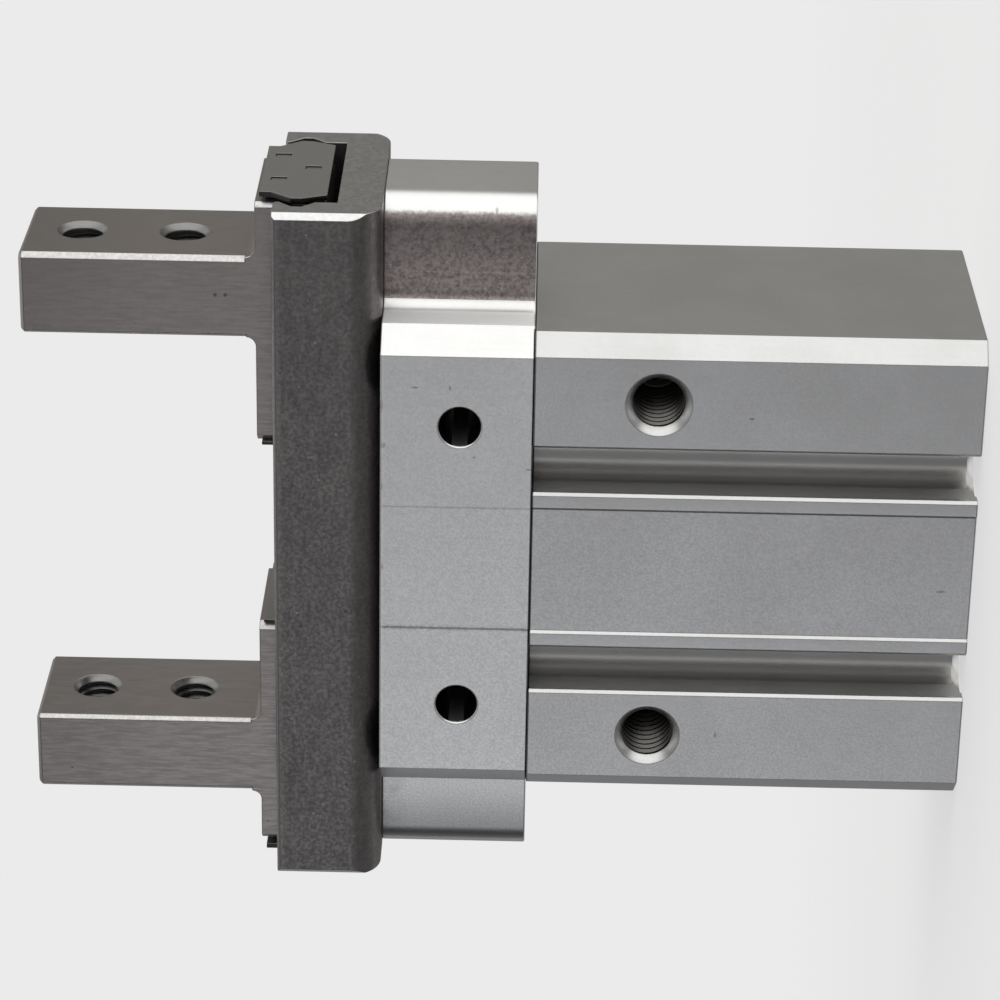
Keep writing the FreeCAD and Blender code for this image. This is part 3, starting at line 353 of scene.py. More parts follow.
def anodisedSurface(tree, where, look):
    cloud = use(tree, grain, vector=where, scale=0.11, contrast=0.2)
    patch = use(tree, grain, vector=where, scale=0.8, contrast=0.22)
    fine = use(tree, grain, vector=where, scale=look["grainScale"], contrast=0.25)
    drawn = use(tree, brushing, vector=where, stretch=(4.0, 4.0, 0.1))
    speck = use(tree, pits, vector=where, scale=0.31, share=0.13, size=0.05)
    rub = use(tree, edgeRub, vector=where, reach=0.12 * mm)
    colour = tint(tree, cloud, grey(look["base"]), grey(look["stain"], 0.006))
    colour = tint(tree, patch, colour, grey(look["base"] * 0.86), share=0.16)
    colour = tint(tree, drawn, colour, grey(look["base"] * 1.1), share=0.16)
    colour = tint(tree, fine, colour, grey(look["base"] * 0.75), share=0.08)
    colour = tint(tree, rub, colour, grey(look["rubbed"]), share=0.4)
    colour = tint(tree, speck, colour, grey(look["speck"], 0.04), share=0.55)
    for place, size in look["scuffs"]:
        mark = use(tree, smudge, vector=where, place=place, size=size)
        colour = tint(tree, mark, colour, grey(look["speck"] * 0.5, 0.03), share=0.5)
    roughness = spread(tree, fine, 0.0, 1.0, *look["roughness"])
    return colour, roughness, fine


def nearSeam(tree, height, seam, half):        # mask of a thin band about a height
    gap = calc(tree, "ABSOLUTE", calc(tree, "SUBTRACT", height, seam))
    return spread(tree, gap, half * 0.6, half, 1.0, 0.0)


def makeAnodised():
    look = anodisedLook
    material, tree, shader, where, _ = newMaterial("anodised")
    colour, roughness, fine = anodisedSurface(tree, where, look)
    axes = addNode(tree, "ShaderNodeSeparateXYZ", {"Vector": where}).outputs
    fromGroove = calc(tree, "SUBTRACT", calc(tree, "ABSOLUTE", axes["X"]), look["grooveOffset"])
    inGroove = calc(tree, "LESS_THAN", calc(tree, "ABSOLUTE", fromGroove), look["grooveReach"])
    depth = calc(tree, "ADD", axes["Y"], holes["port"]["face"])
    # painted shade inside the switch grooves: darker from where the walls turn into the round floor,
    # lighter again at the floor's bottom
    curved = spread(tree, depth, *look["grooveWalls"])
    grooveShadeBand = calc(tree, "MULTIPLY", curved, spread(tree, depth, *look["grooveFloor"]))
    paintedGrooveShade = calc(tree, "MULTIPLY", inGroove, grooveShadeBand)
    smooth = spread(tree, depth, *look["grooveWalls"], *look["grooveRoughness"])
    inside = calc(tree, "MULTIPLY", inGroove, calc(tree, "GREATER_THAN", depth, look["grooveMouth"]))
    colour = tint(tree, paintedGrooveShade, colour, grey(look["grooveShade"], 0.03), share=0.8)
    roughness = tint(tree, inside, roughness, smooth)
    # a darker band along the seam between body and head
    seamHalf, seamShare = look["seam"]
    seamBand = nearSeam(tree, axes["Z"], seamHeight, seamHalf)
    colour = tint(tree, seamBand, colour, grey(look["seamDark"]), share=seamShare)
    # painted shade on the walls of the ports and the rear holes
    for name in ("port", "rear"):
        bore = use(tree, boreShade, vector=where, **holes[name])
        colour = tint(tree, bore, colour, grey(look["bore"], 0.04))
    finish(tree, shader, colour, roughness, fine, look["relief"] * mm)
    return material


# The head: brighter, its upper ear left as sawn, and two fine lines across its front

headLook = {
    **anodisedLook,
    "base": 0.83,
    "stain": 0.78,
    "rubbed": 0.93,
    "scuffs": [
        ((28.7, -5.4, 39.26), (0.45, 0.8, 0.16)),
        ((8.92, -11.6, 36.3), (0.1, 0.3, 0.35)),
        ((15.9, -11.6, 45.5), (0.12, 0.3, 0.4)),
        ((15.9, -11.6, 42.7), (0.3, 0.3, 0.12)),
        ((14.33, -11.6, 48.15), (0.7, 0.4, 0.16)),
        ((10.8, -11.6, 48.05), (0.35, 0.4, 0.3)),
        ((7.23, -11.6, 48.12), (0.6, 0.4, 0.12)),
        ((0.0, -11.6, 48.1), (0.45, 0.4, 0.16)),
        ((-18.9, -11.6, 47.6), (0.25, 0.4, 0.8)),
    ],
    "paintedBrimHighlight": (0.4, 0.2, 0.95, 0.35),        # painted highlight along the top edge of the front, beside the rail: mm below the top, grey and strength
    "paintedTipShade": (-22.6, -28.2, 0.3, 0.76),        # painted shade towards the end of the lower ear: mm along it, grey and strength
    "dullRoot": (2.6, 0.3, 0.2, 0.45),        # stain beside the rail: mm below the top, grey and strength
    "sawnFrom": 21.4,        # mm from the middle, along the ear
    "sawnEnd": (23.5, 27.0, 0.3),        # where the sawn face darkens, and how much
    "sawnRoughness": 0.46,
    "sawnRelief": 7.0,        # against the relief of the rest
    "sawn": (0.4, 0.345, 0.333, 1.0),
    "sawnDark": (0.17, 0.14, 0.14, 1.0),
    "sawnLight": (0.6, 0.54, 0.52, 1.0),
    "sawnGlint": (0.7, 0.65, 0.62, 1.0),
    "sawnPurple": (0.27, 0.22, 0.25, 1.0),
    "sawnScore": (23.66, 0.06, 0.9),        # one lighter score across it: place, half width, strength
    "lines": [(5.45, 0.035, 0.3), (-5.45, 0.06, 0.7)],        # place, half width, strength
    "line": 0.2,        # greys of a line and of the haze beside it
    "lineHaze": 0.3,
    "frontEdge": (-0.76, -0.86, 0.035),        # how squarely a face looks forward, and its ragged limit
    "flank": (20.8, 0.97, 0.8),        # the rougher side faces beside the ears: reach, grey and roughness
}


def sawnSurface(tree, where, axes, look):
    broad = use(tree, grain, vector=where, scale=0.5, contrast=0.2)
    coarse = use(tree, grain, vector=where, scale=2.1, contrast=0.16)
    fine = use(tree, grain, vector=where, scale=3.6, contrast=0.13)
    streak = use(tree, brushing, vector=where, stretch=(1.2, 4.0, 5.5))
    crumbs = use(tree, pits, vector=where, scale=2.0, share=0.14, size=0.2)
    glints = use(tree, pits, vector=where, scale=2.2, share=0.3, size=0.2)
    raw = tint(tree, broad, look["sawn"], look["sawnPurple"], share=0.8)
    raw = tint(tree, streak, raw, look["sawnLight"], share=0.4)
    raw = tint(tree, coarse, raw, look["sawnDark"], share=0.6)
    raw = tint(tree, fine, raw, look["sawnLight"], share=0.6)
    raw = tint(tree, crumbs, raw, grey(0.06, 0.03), share=0.6)
    raw = tint(tree, glints, raw, look["sawnGlint"], share=0.8)
    endFrom, endTo, endShare = look["sawnEnd"]
    raw = tint(tree, spread(tree, axes["X"], endFrom, endTo), raw, look["sawnDark"], share=endShare)
    scoreAt, scoreHalf, scoreShare = look["sawnScore"]
    score = calc(tree, "MULTIPLY", nearSeam(tree, axes["X"], scoreAt, scoreHalf), streak)
    raw = tint(tree, score, raw, look["sawnLight"], share=scoreShare)
    return raw, coarse


def makeHeadFinish():
    look = headLook
    material, tree, shader, where, facing = newMaterial("anodisedHead")
    colour, roughness, fine = anodisedSurface(tree, where, look)
    axes = addNode(tree, "ShaderNodeSeparateXYZ", {"Vector": where}).outputs
    normal = addNode(tree, "ShaderNodeSeparateXYZ", {"Vector": facing}).outputs
    noise = use(tree, grain, vector=where, scale=2.4, contrast=0.2)
    ragged = use(tree, grain, vector=where, scale=3.0, contrast=0.2)
    frontFrom, frontTo, raggedBy = look["frontEdge"]
    toFront = spread(tree, calc(tree, "MULTIPLY_ADD", ragged, raggedBy, normal["Y"]), frontFrom, frontTo)
    for place, half, strength in look["lines"]:
        line = calc(tree, "MULTIPLY", nearSeam(tree, axes["X"], place, half * 2), toFront)
        haze = calc(tree, "MULTIPLY", nearSeam(tree, axes["X"], place, half * 5), toFront)
        hazy = calc(tree, "MULTIPLY", haze, noise)
        colour = tint(tree, hazy, colour, grey(look["lineHaze"]), share=strength * 0.5)
        colour = tint(tree, line, colour, grey(look["line"]), share=strength)
    # painted highlight: a lighter band along the top edge of the front, beside the rail
    brimFrom, brimTo, brimGrey, brimShare = look["paintedBrimHighlight"]
    paintedBrimHighlight = calc(tree, "MULTIPLY", spread(tree, axes["Z"], headTop - brimFrom, headTop - brimTo), toFront)
    colour = tint(tree, paintedBrimHighlight, colour, grey(brimGrey), share=brimShare)
    # painted shade: the lower ear's front darkens towards its end
    tipFrom, tipTo, tipGrey, tipShare = look["paintedTipShade"]
    nearTip = calc(tree, "MULTIPLY", spread(tree, axes["X"], tipFrom, tipTo), toFront)
    colour = tint(tree, nearTip, colour, grey(tipGrey), share=tipShare)
    rootFrom, rootTo, rootGrey, rootShare = look["dullRoot"]
    blot = use(tree, grain, vector=where, scale=0.7, contrast=0.25)
    besideRail = spread(tree, axes["Z"], headTop - rootFrom, headTop - rootTo)
    onLower = calc(tree, "MULTIPLY", calc(tree, "LESS_THAN", axes["X"], -look["sawnFrom"]), toFront)
    nearRoot = calc(tree, "MULTIPLY", calc(tree, "MULTIPLY", besideRail, blot), onLower)
    colour = tint(tree, nearRoot, colour, grey(rootGrey), share=rootShare)
    raw, coarse = sawnSurface(tree, where, axes, look)
    sawn = calc(tree, "MULTIPLY", toFront, calc(tree, "GREATER_THAN", axes["X"], look["sawnFrom"]))
    colour = tint(tree, sawn, colour, raw)
    roughness = tint(tree, sawn, roughness, grey(look["sawnRoughness"]))
    fromMiddle = calc(tree, "ABSOLUTE", axes["X"])
    flankReach, flankGrey, flankRoughness = look["flank"]
    outward = calc(tree, "GREATER_THAN", calc(tree, "ABSOLUTE", normal["X"]), 0.93)        # its flats
    flank = calc(tree, "MULTIPLY", outward, calc(tree, "LESS_THAN", fromMiddle, flankReach))
    colour = tint(tree, flank, colour, grey(flankGrey))
    roughness = tint(tree, flank, roughness, grey(flankRoughness))
    # a darker band along the seam, where the head sits over the body
    seamHalf, seamShare = look["seam"]
    overBody = calc(tree, "LESS_THAN", fromMiddle, bodySide)
    seamBand = calc(tree, "MULTIPLY", nearSeam(tree, axes["Z"], seamHeight, seamHalf), overBody)
    colour = tint(tree, seamBand, colour, grey(look["seamDark"]), share=seamShare)
    # painted shade on the walls of the side holes
    bore = use(tree, boreShade, vector=where, **holes["side"])
    colour = tint(tree, bore, colour, grey(look["bore"]))
    height = calc(tree, "MULTIPLY_ADD", calc(tree, "MULTIPLY", sawn, coarse), look["sawnRelief"], fine)
    finish(tree, shader, colour, roughness, height, look["relief"] * mm)
    return material


# Rail: dark matt front and back, ground ends and channel

railLook = {
    "skin": (0.29, 0.264, 0.262, 1.0),
    "skinSoft": (0.23, 0.213, 0.213, 1.0),
    "skinDark": (0.13, 0.119, 0.12, 1.0),
    "skinLight": (0.37, 0.345, 0.34, 1.0),
    "skinGlint": (0.6, 0.58, 0.57, 1.0),
    "ground": 0.37,
    "chamfer": 0.8,
    "chamferFrom": 9.0,        # mm from the middle, clear of the channel
    "lip": 0.26,        # the slanting edges along its top
    "score": (55.35, 0.12, 0.3),        # one pale line along its front: height, half width, strength
    "rubbed": 0.5,
    "roughness": (0.36, 0.5),
}


slantRange = (0.34, 0.44)        # product of two parts of a normal, 0.5 on a face at 45 degrees
endRange = (0.6, 0.9)        # part of a normal along X, on faces that look to one end


def onChamfer(tree, normal, where, away):        # mask of the slanting faces between a front and a side
    aside = addNode(tree, "ShaderNodeSeparateXYZ", {"Vector": where}).outputs["Y"]
    outer = calc(tree, "GREATER_THAN", calc(tree, "ABSOLUTE", aside), away)
    slant = calc(tree, "ABSOLUTE", calc(tree, "MULTIPLY", normal["X"], normal["Y"]))
    return calc(tree, "MULTIPLY", outer, spread(tree, slant, *slantRange))


def makeRailFinish():
    look = railLook
    material, tree, shader, where, facing = newMaterial("railSteel")
    normal = addNode(tree, "ShaderNodeSeparateXYZ", {"Vector": facing}).outputs
    ground = spread(tree, calc(tree, "ABSOLUTE", normal["X"]), *endRange)
    broad = use(tree, grain, vector=where, scale=0.35, contrast=0.2)
    coarse = use(tree, grain, vector=where, scale=1.6, contrast=0.15)
    fine = use(tree, grain, vector=where, scale=3.0, contrast=0.18)
    drawn = use(tree, brushing, vector=where, stretch=(0.5, 2.0, 2.0))
    nicks = use(tree, pits, vector=where, scale=0.8, share=0.2, size=0.13)
    glints = use(tree, pits, vector=where, scale=1.0, share=0.22, size=0.12)
    hairs = use(tree, scratches, vector=where, turn=(0.0, 0.5, 0.3), stretch=(0.5, 2.0, 4.0), share=0.1)
    rub = use(tree, edgeRub, vector=where, reach=0.15 * mm)
    skin = tint(tree, broad, look["skin"], look["skinSoft"])
    skin = tint(tree, coarse, skin, look["skinDark"], share=0.34)
    skin = tint(tree, drawn, skin, look["skinLight"], share=0.42)
    skin = tint(tree, fine, skin, look["skinDark"], share=0.38)
    skin = tint(tree, hairs, skin, look["skinLight"], share=0.5)
    skin = tint(tree, nicks, skin, look["skinDark"], share=0.8)
    skin = tint(tree, glints, skin, look["skinGlint"], share=0.6)
    level = addNode(tree, "ShaderNodeSeparateXYZ", {"Vector": where}).outputs["Z"]
    scoreAt, half, strength = look["score"]
    along = nearSeam(tree, level, scoreAt, half)
    skin = tint(tree, calc(tree, "MULTIPLY", along, drawn), skin, look["skinLight"], share=strength)
    # painted highlight: a lighter band just under the slanting lips along the top
    paintedLipHighlight = spread(tree, level, railEdge - lipReach, railEdge)
    skin = tint(tree, paintedLipHighlight, skin, look["skinLight"], share=0.4)
    plain = tint(tree, fine, grey(look["ground"], 0.01), grey(look["ground"] * 0.84, 0.01), share=0.2)
    colour = tint(tree, ground, skin, plain)
    # painted highlight on the slanting faces between the rail's ends and its front and back
    chamfer = onChamfer(tree, normal, where, look["chamferFrom"])
    colour = tint(tree, chamfer, colour, grey(look["chamfer"]))
    slant = calc(tree, "ABSOLUTE", calc(tree, "MULTIPLY", normal["Y"], normal["Z"]))
    upper = calc(tree, "GREATER_THAN", level, railEdge)
    lip = calc(tree, "MULTIPLY", upper, spread(tree, slant, *slantRange))
    colour = tint(tree, lip, colour, grey(look["lip"]))
    colour = tint(tree, rub, colour, grey(look["rubbed"], 0.02), share=0.4)
    roughness = spread(tree, fine, 0.0, 1.0, *look["roughness"])
    matt = calc(tree, "SUBTRACT", 1.0, ground)
    height = calc(tree, "MULTIPLY", coarse, matt)
    finish(tree, shader, colour, roughness, height, depth=0.01 * mm, strength=0.3)
    return material


# Fingers: sides ground smooth, fronts and backs brushed along the finger, long edges painted bright as a
# highlight

fingerLook = {
    "brushed": (0.425, 0.388, 0.375, 1.0),
    "brushedDark": (0.335, 0.306, 0.296, 1.0),
    "brushedLight": (0.5, 0.456, 0.44, 1.0),
    "ground": (0.37, 0.338, 0.33, 1.0),
    "groundSoft": (0.335, 0.305, 0.298, 1.0),
    "chamfer": 0.68,
    "chamferFrom": 4.0,        # mm from the middle, clear of the holes
    "countersink": 0.26,
    "bore": 0.2,
    "throat": (5.0, 60.0),        # mm above a hole's mouth, and right through from there
    "dots": [(21.17, -5.65, 61.88), (21.14, -5.65, 61.05)],        # punched on the right finger's front
    "dot": 0.06,
    "dotSize": (0.22, 0.6, 0.22),
    "mark": 0.55,
    "pit": 0.08,
    "rubbed": 0.7,
    "tipShade": 0.16,
    "roughness": (0.3, 0.4),
    "tip": (66.0, 77.5),        # mm, the height over which it darkens towards the tip
    "frontRange": (0.75, 0.92),        # part of a normal along Y, on the fronts and backs
    "coneRange": (0.97, 0.9),        # part of a normal along X, on the countersinks
}


def makeFingerFinish():
    look = fingerLook
    material, tree, shader, where, facing = newMaterial("fingerSteel")
    axes = addNode(tree, "ShaderNodeSeparateXYZ", {"Vector": where}).outputs
    normal = addNode(tree, "ShaderNodeSeparateXYZ", {"Vector": facing}).outputs
    frontal = spread(tree, calc(tree, "ABSOLUTE", normal["Y"]), *look["frontRange"])
    lines = use(tree, brushing, vector=where, stretch=(5.0, 5.0, 0.5))
    broad = use(tree, brushing, vector=where, stretch=(1.2, 1.2, 0.25))
    fine = use(tree, grain, vector=where, scale=4.0, contrast=0.22)
    pit = use(tree, pits, vector=where, scale=0.4, share=0.2, size=0.06)
    mark = use(tree, scratches, vector=where, turn=(0.0, 0.25, 0.0), stretch=(5.0, 3.0, 0.5), share=0.1)
    rub = use(tree, edgeRub, vector=where, reach=0.1 * mm)
    brushed = tint(tree, lines, look["brushed"], look["brushedDark"], share=0.3)
    brushed = tint(tree, broad, brushed, look["brushedLight"], share=0.25)
    brushed = tint(tree, fine, brushed, look["brushedDark"], share=0.25)
    plain = tint(tree, fine, look["ground"], look["groundSoft"], share=0.3)
    colour = tint(tree, frontal, plain, brushed)
    colour = tint(tree, calc(tree, "MULTIPLY", mark, frontal), colour, grey(look["mark"]), share=0.3)
    colour = tint(tree, calc(tree, "MULTIPLY", pit, frontal), colour, grey(look["pit"]), share=0.7)
    for place in look["dots"]:
        dot = use(tree, smudge, vector=where, place=place, size=look["dotSize"])
        colour = tint(tree, dot, colour, grey(look["dot"]), share=0.65)
    colour = tint(tree, spread(tree, axes["Z"], *look["tip"]), colour, grey(look["tipShade"]), share=0.22)
    # painted highlight on the long slanting edges, broken up by the grain
    longEdge = onChamfer(tree, normal, where, look["chamferFrom"])
    colour = tint(tree, longEdge, colour, grey(look["chamfer"], 0.005))
    colour = tint(tree, calc(tree, "MULTIPLY", longEdge, fine), colour, look["ground"], share=0.5)
    # painted shade in the countersinks
    slanting = spread(tree, calc(tree, "ABSOLUTE", normal["X"]), *look["coneRange"])
    hole = holes["finger"]
    above, through = look["throat"]
    throat = {**hole, "face": hole["face"] + above, "depth": through}
    paintedCountersinkShade = calc(tree, "MULTIPLY", slanting, use(tree, boreShade, vector=where, **throat))
    colour = tint(tree, paintedCountersinkShade, colour, grey(look["countersink"], 0.01))
    colour = tint(tree, rub, colour, grey(look["rubbed"], 0.01), share=0.3)
    # painted shade on the walls of the finger holes, below their countersinks
    bore = use(tree, boreShade, vector=where, **hole)
    colour = tint(tree, bore, colour, grey(look["bore"], 0.01))
    roughness = spread(tree, lines, 0.0, 1.0, *look["roughness"])
    height = calc(tree, "MULTIPLY", lines, frontal)
    finish(tree, shader, colour, roughness, height, depth=0.003 * mm, strength=0.2)
    return material


# Plainer metals: one recipe, a row of values for each slot

metalLooks = {
    "stop_steel": {
        "base": 0.34, "warmth": 0.02, "roughness": (0.36, 0.46), "grain": 5.0, "stretch": (1.0, 4.0, 4.0),
        "side": 0.09, "rub": 0.1,
    },
    "ball_steel": {
        "base": 0.66, "warmth": 0.0, "roughness": (0.1, 0.16), "grain": 3.0, "stretch": (2.0, 2.0, 2.0),
    },
    "lever_steel": {
        "base": 0.34, "warmth": 0.02, "roughness": (0.32, 0.42), "grain": 5.0, "stretch": (6.0, 1.0, 1.0),
    },
    "pin_steel": {
        "base": 0.5, "warmth": 0.01, "roughness": (0.22, 0.3), "grain": 6.0, "stretch": (2.0, 0.5, 6.0),
    },
    "piston_alloy": {
        "base": 0.62, "warmth": 0.01, "roughness": (0.3, 0.4), "grain": 5.0, "stretch": (0.6, 0.6, 9.0),
    },
    "screw_black": {
        "base": 0.06, "warmth": 0.0, "roughness": (0.4, 0.52), "grain": 6.0, "stretch": (3.0, 3.0, 3.0),
    },
    "ring_spring_steel": {
        "base": 0.13, "warmth": 0.02, "roughness": (0.3, 0.42), "grain": 5.0, "stretch": (2.0, 2.0, 6.0),
    },
}


def makeMetal(slot):
    look = metalLooks[slot]
    material, tree, shader, where, facing = newMaterial(slot)
    fine = use(tree, grain, vector=where, scale=look["grain"], contrast=0.22)
    drawn = use(tree, brushing, vector=where, stretch=look["stretch"])
    rub = use(tree, edgeRub, vector=where, reach=0.1 * mm)
    base = look["base"]
    warmth = look["warmth"]
    colour = tint(tree, fine, grey(base, warmth), grey(base * 0.82, warmth), share=0.4)
    colour = tint(tree, drawn, colour, grey(min(base * 1.2, 0.9), warmth), share=0.3)
    colour = tint(tree, rub, colour, grey(0.5 + base * 0.4), share=look.get("rub", 0.5))
    if "side" in look:        # painted shade: darker all round its edges than on its two faces
        normal = addNode(tree, "ShaderNodeSeparateXYZ", {"Vector": facing}).outputs
        paintedOutlineShade = spread(tree, calc(tree, "ABSOLUTE", normal["X"]), *endRange, 1.0, 0.0)
        colour = tint(tree, paintedOutlineShade, colour, grey(look["side"]))
    roughness = spread(tree, fine, 0.0, 1.0, *look["roughness"])
    finish(tree, shader, colour, roughness, drawn, depth=0.003 * mm, strength=0.3)
    return material


# Rubber and bonded magnet

softLooks = {
    "seal_rubber": {"base": 0.022, "roughness": (0.5, 0.66), "grain": 4.0},
    "magnet": {"base": 0.05, "roughness": (0.55, 0.7), "grain": 7.0},
}


def makeDull(slot):
    look = softLooks[slot]
    material, tree, shader, where, _ = newMaterial(slot, metallic=0.0)
    fine = use(tree, grain, vector=where, scale=look["grain"], contrast=0.22)
    bloom = use(tree, grain, vector=where, scale=0.6, contrast=0.2)
    colour = tint(tree, fine, grey(look["base"]), grey(look["base"] * 1.7), share=0.5)
    colour = tint(tree, bloom, colour, grey(look["base"] * 2.6), share=0.25)
    roughness = spread(tree, fine, 0.0, 1.0, *look["roughness"])
    finish(tree, shader, colour, roughness, fine, depth=0.01 * mm, strength=0.3)
    return material


finishes = {
    "anodised": makeAnodised(),
    "rail_steel": makeRailFinish(),
    "finger_steel": makeFingerFinish(),
}
finishes.update({slot: makeMetal(slot) for slot in metalLooks})
finishes.update({slot: makeDull(slot) for slot in softLooks})
headFinish = makeHeadFinish()

slotOf = {}
for node, cadObject in frame["nodes"].items():
    slotOf[node] = cadObject.material_slots[0].material.name.split(".")[0]
    for place in cadObject.material_slots:
        place.material = finishes[slotOf[node]]
print("finishes made:", ", ".join(sorted(finishes)))


# Threads: one tree cuts a helical groove into each hole of a straight row

def makeThreadTree():
    tree = bpy.data.node_groups.new("threadCutter", "GeometryNodeTree")
    sockets = [
        ("Geometry", "NodeSocketGeometry"), ("Finish", "NodeSocketMaterial"),
        ("First hole", "NodeSocketVector"), ("Hole step", "NodeSocketVector"),
        ("Turn", "NodeSocketRotation"), ("Wall radius", "NodeSocketFloat"),
        ("Thread depth", "NodeSocketFloat"), ("Pitch", "NodeSocketFloat"),
        ("Length", "NodeSocketFloat"), ("Sharp above", "NodeSocketFloat"),
    ]
    for label, kind in sockets:
        tree.interface.new_socket(label, in_out="INPUT", socket_type=kind)
    tree.interface.new_socket("Geometry", in_out="OUTPUT", socket_type="NodeSocketGeometry")
    given = addNode(tree, "NodeGroupInput").outputs
    turns = calc(tree, "DIVIDE", given["Length"], given["Pitch"])
    helix = addNode(tree, "GeometryNodeCurveSpiral", {
        "Resolution": 36, "Rotations": turns, "Height": given["Length"],
        "Start Radius": given["Wall radius"], "End Radius": given["Wall radius"],
    })
    upright = addNode(tree, "GeometryNodeSetCurveNormal", {"Curve": helix.outputs["Curve"]}, mode="Z_UP")
    lozenge = addNode(tree, "GeometryNodeCurvePrimitiveCircle", {"Resolution": 4, "Radius": 1.0})
    halfWidth = calc(tree, "MULTIPLY", given["Pitch"], 0.375)        # a quarter stays as crest
    shape = addNode(tree, "ShaderNodeCombineXYZ", {"X": given["Thread depth"], "Y": halfWidth, "Z": 1.0})
    tooth = addNode(tree, "GeometryNodeTransform", {
        "Geometry": lozenge.outputs["Curve"], "Scale": shape.outputs["Vector"],
    })
    cutter = addNode(tree, "GeometryNodeCurveToMesh", {
        "Curve": upright.outputs["Curve"], "Profile Curve": tooth.outputs["Geometry"], "Fill Caps": True,
    })
    mouths = addNode(tree, "GeometryNodeMeshLine", {
        "Count": 2, "Start Location": given["First hole"], "Offset": given["Hole step"],
    })
    placed = addNode(tree, "GeometryNodeInstanceOnPoints", {
        "Points": mouths.outputs["Mesh"], "Instance": cutter.outputs["Mesh"], "Rotation": given["Turn"],
    })
    cutters = addNode(tree, "GeometryNodeRealizeInstances", {"Geometry": placed.outputs["Instances"]})
    cut = addNode(tree, "GeometryNodeMeshBoolean", {
        "Mesh 1": given["Geometry"], "Mesh 2": cutters.outputs["Geometry"],
    }, operation="DIFFERENCE", solver="EXACT")
    bend = addNode(tree, "GeometryNodeInputMeshEdgeAngle").outputs["Unsigned Angle"]
    sharp = calc(tree, "GREATER_THAN", bend, given["Sharp above"])
    crisp = addNode(tree, "GeometryNodeSetShadeSmooth", {
        "Geometry": cut.outputs["Mesh"], "Selection": sharp, "Shade Smooth": False,
    }, domain="EDGE")
    whole = addNode(tree, "GeometryNodeRealizeInstances", {"Geometry": crisp.outputs["Geometry"]})
    painted = addNode(tree, "GeometryNodeSetMaterial", {
        "Geometry": whole.outputs["Geometry"], "Material": given["Finish"],
    })
    addNode(tree, "NodeGroupOutput", {"Geometry": painted.outputs["Geometry"]})
    return tree


threadTree = makeThreadTree()


# Machined pieces: the CAD shape with its sharp edges broken, and threads cut where it has them

def setInputs(modifier, values):
    for item in modifier.node_group.interface.items_tree:
        if item.in_out == "INPUT" and item.name in values:
            modifier[item.identifier] = values[item.name]


edgeRules = {
    "merge": 0.0005,        # mm between corners that are one
    "shortest": 0.1,        # mm, shorter edges stay sharp
    "flat": 0.4,        # degrees of bend, below which two faces are one
    "slanting": 38,        # degrees from which an edge is broken by its slant share
    "square": 60,        # degrees above which it is broken in full
}


def brokenEdges(node, slantShare):        # clean copy of the CAD mesh, with a weight on each sharp edge
    shape = bmesh.new()
    shape.from_mesh(frame["nodes"][node].data)
    flat = math.radians(edgeRules["flat"])
    bmesh.ops.remove_doubles(shape, verts=shape.verts, dist=edgeRules["merge"] * mm)
    bmesh.ops.dissolve_limit(shape, angle_limit=flat, verts=shape.verts, edges=shape.edges)
    weight = shape.edges.layers.float.new("bevel_weight_edge")
    for edge in shape.edges:
        bend = math.degrees(edge.calc_face_angle())
        if edge.calc_length() < edgeRules["shortest"] * mm or bend < edgeRules["slanting"]:
            continue
        edge[weight] = 1.0 if bend > edgeRules["square"] else slantShare
    mesh = bpy.data.meshes.new(node + "_finished")
    shape.to_mesh(mesh)
    shape.free()
    return mesh


def machined(node, setup):
    mesh = brokenEdges(node, setup["slantShare"])
    mesh.materials.clear()
    mesh.materials.append(setup["finish"])
    mesh.shade_smooth()
    piece = bpy.data.objects.new(node + "_finished", mesh)
    scene.collection.objects.link(piece)
    bevel = piece.modifiers.new("edgeBreak", "BEVEL")
    bevel.width = setup["edgeBreak"] * mm
    bevel.segments = 2
    bevel.limit_method = "WEIGHT"
    bevel.loop_slide = False
    bevel.use_clamp_overlap = False
    for row in setup.get("threads", ()):
        cutting = piece.modifiers.new("threads", "NODES")
        cutting.node_group = threadTree
        setInputs(cutting, {**row, "Finish": setup["finish"]})
    weighted = piece.modifiers.new("flatFaces", "WEIGHTED_NORMAL")
    weighted.keep_sharp = True
    weighted.weight = 100
    evaluated = piece.evaluated_get(bpy.context.evaluated_depsgraph_get())
    done = bpy.data.meshes.new_from_object(evaluated)
    piece.modifiers.clear()
    piece.data = done
    done.name = node + "_finished"
    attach(piece, frame["nodes"][node]["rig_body"])
    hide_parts(node)
    return piece


sharpThread = 50        # degrees, edges of a thread that bend more are shaded crisp
threadSizes = {        # mm: pitch, depth of the groove, where it starts below the face, and its length
    "port": {"pitch": 0.8, "depth": 0.4, "start": 0.75, "length": 7.5},
    "finger": {"pitch": 0.7, "depth": 0.36, "start": 0.62, "length": 5.7},
    "rear": {"pitch": 0.7, "depth": 0.36, "start": 0.58, "length": 7.0},
}


def threadRow(name, first, step, turn):        # first hole, mm to the next one, and the way in
    size = threadSizes[name]
    inward = Euler(turn).to_matrix() @ Vector((0.0, 0.0, size["start"]))
    return {
        "First hole": (Vector(first) + inward) * mm, "Hole step": Vector(step) * mm, "Turn": turn,
        "Wall radius": holes[name]["radius"] * mm, "Thread depth": size["depth"] * mm,
        "Pitch": size["pitch"] * mm, "Length": size["length"] * mm,
        "Sharp above": math.radians(sharpThread),
    }


def fingerThreads(side):
    spacing = 2 * holes["finger"]["middle"][2]
    lowest = holes["finger"]["fold"][2] - spacing / 2
    return threadRow("finger", (side * holes["finger"]["face"], 0.0, lowest), (0.0, 0.0, spacing),
                     (0.0, -side * math.pi / 2, 0.0))


portX, _, portZ = holes["port"]["middle"]
rearX = holes["rear"]["middle"][0]
bodyThreads = [
    threadRow("port", (portX, -holes["port"]["face"], portZ), (-2 * portX, 0.0, 0.0),
              (-math.pi / 2, 0.0, 0.0)),
    threadRow("rear", (rearX, 0.0, 0.0), (-2 * rearX, 0.0, 0.0), (0.0, 0.0, 0.0)),
]

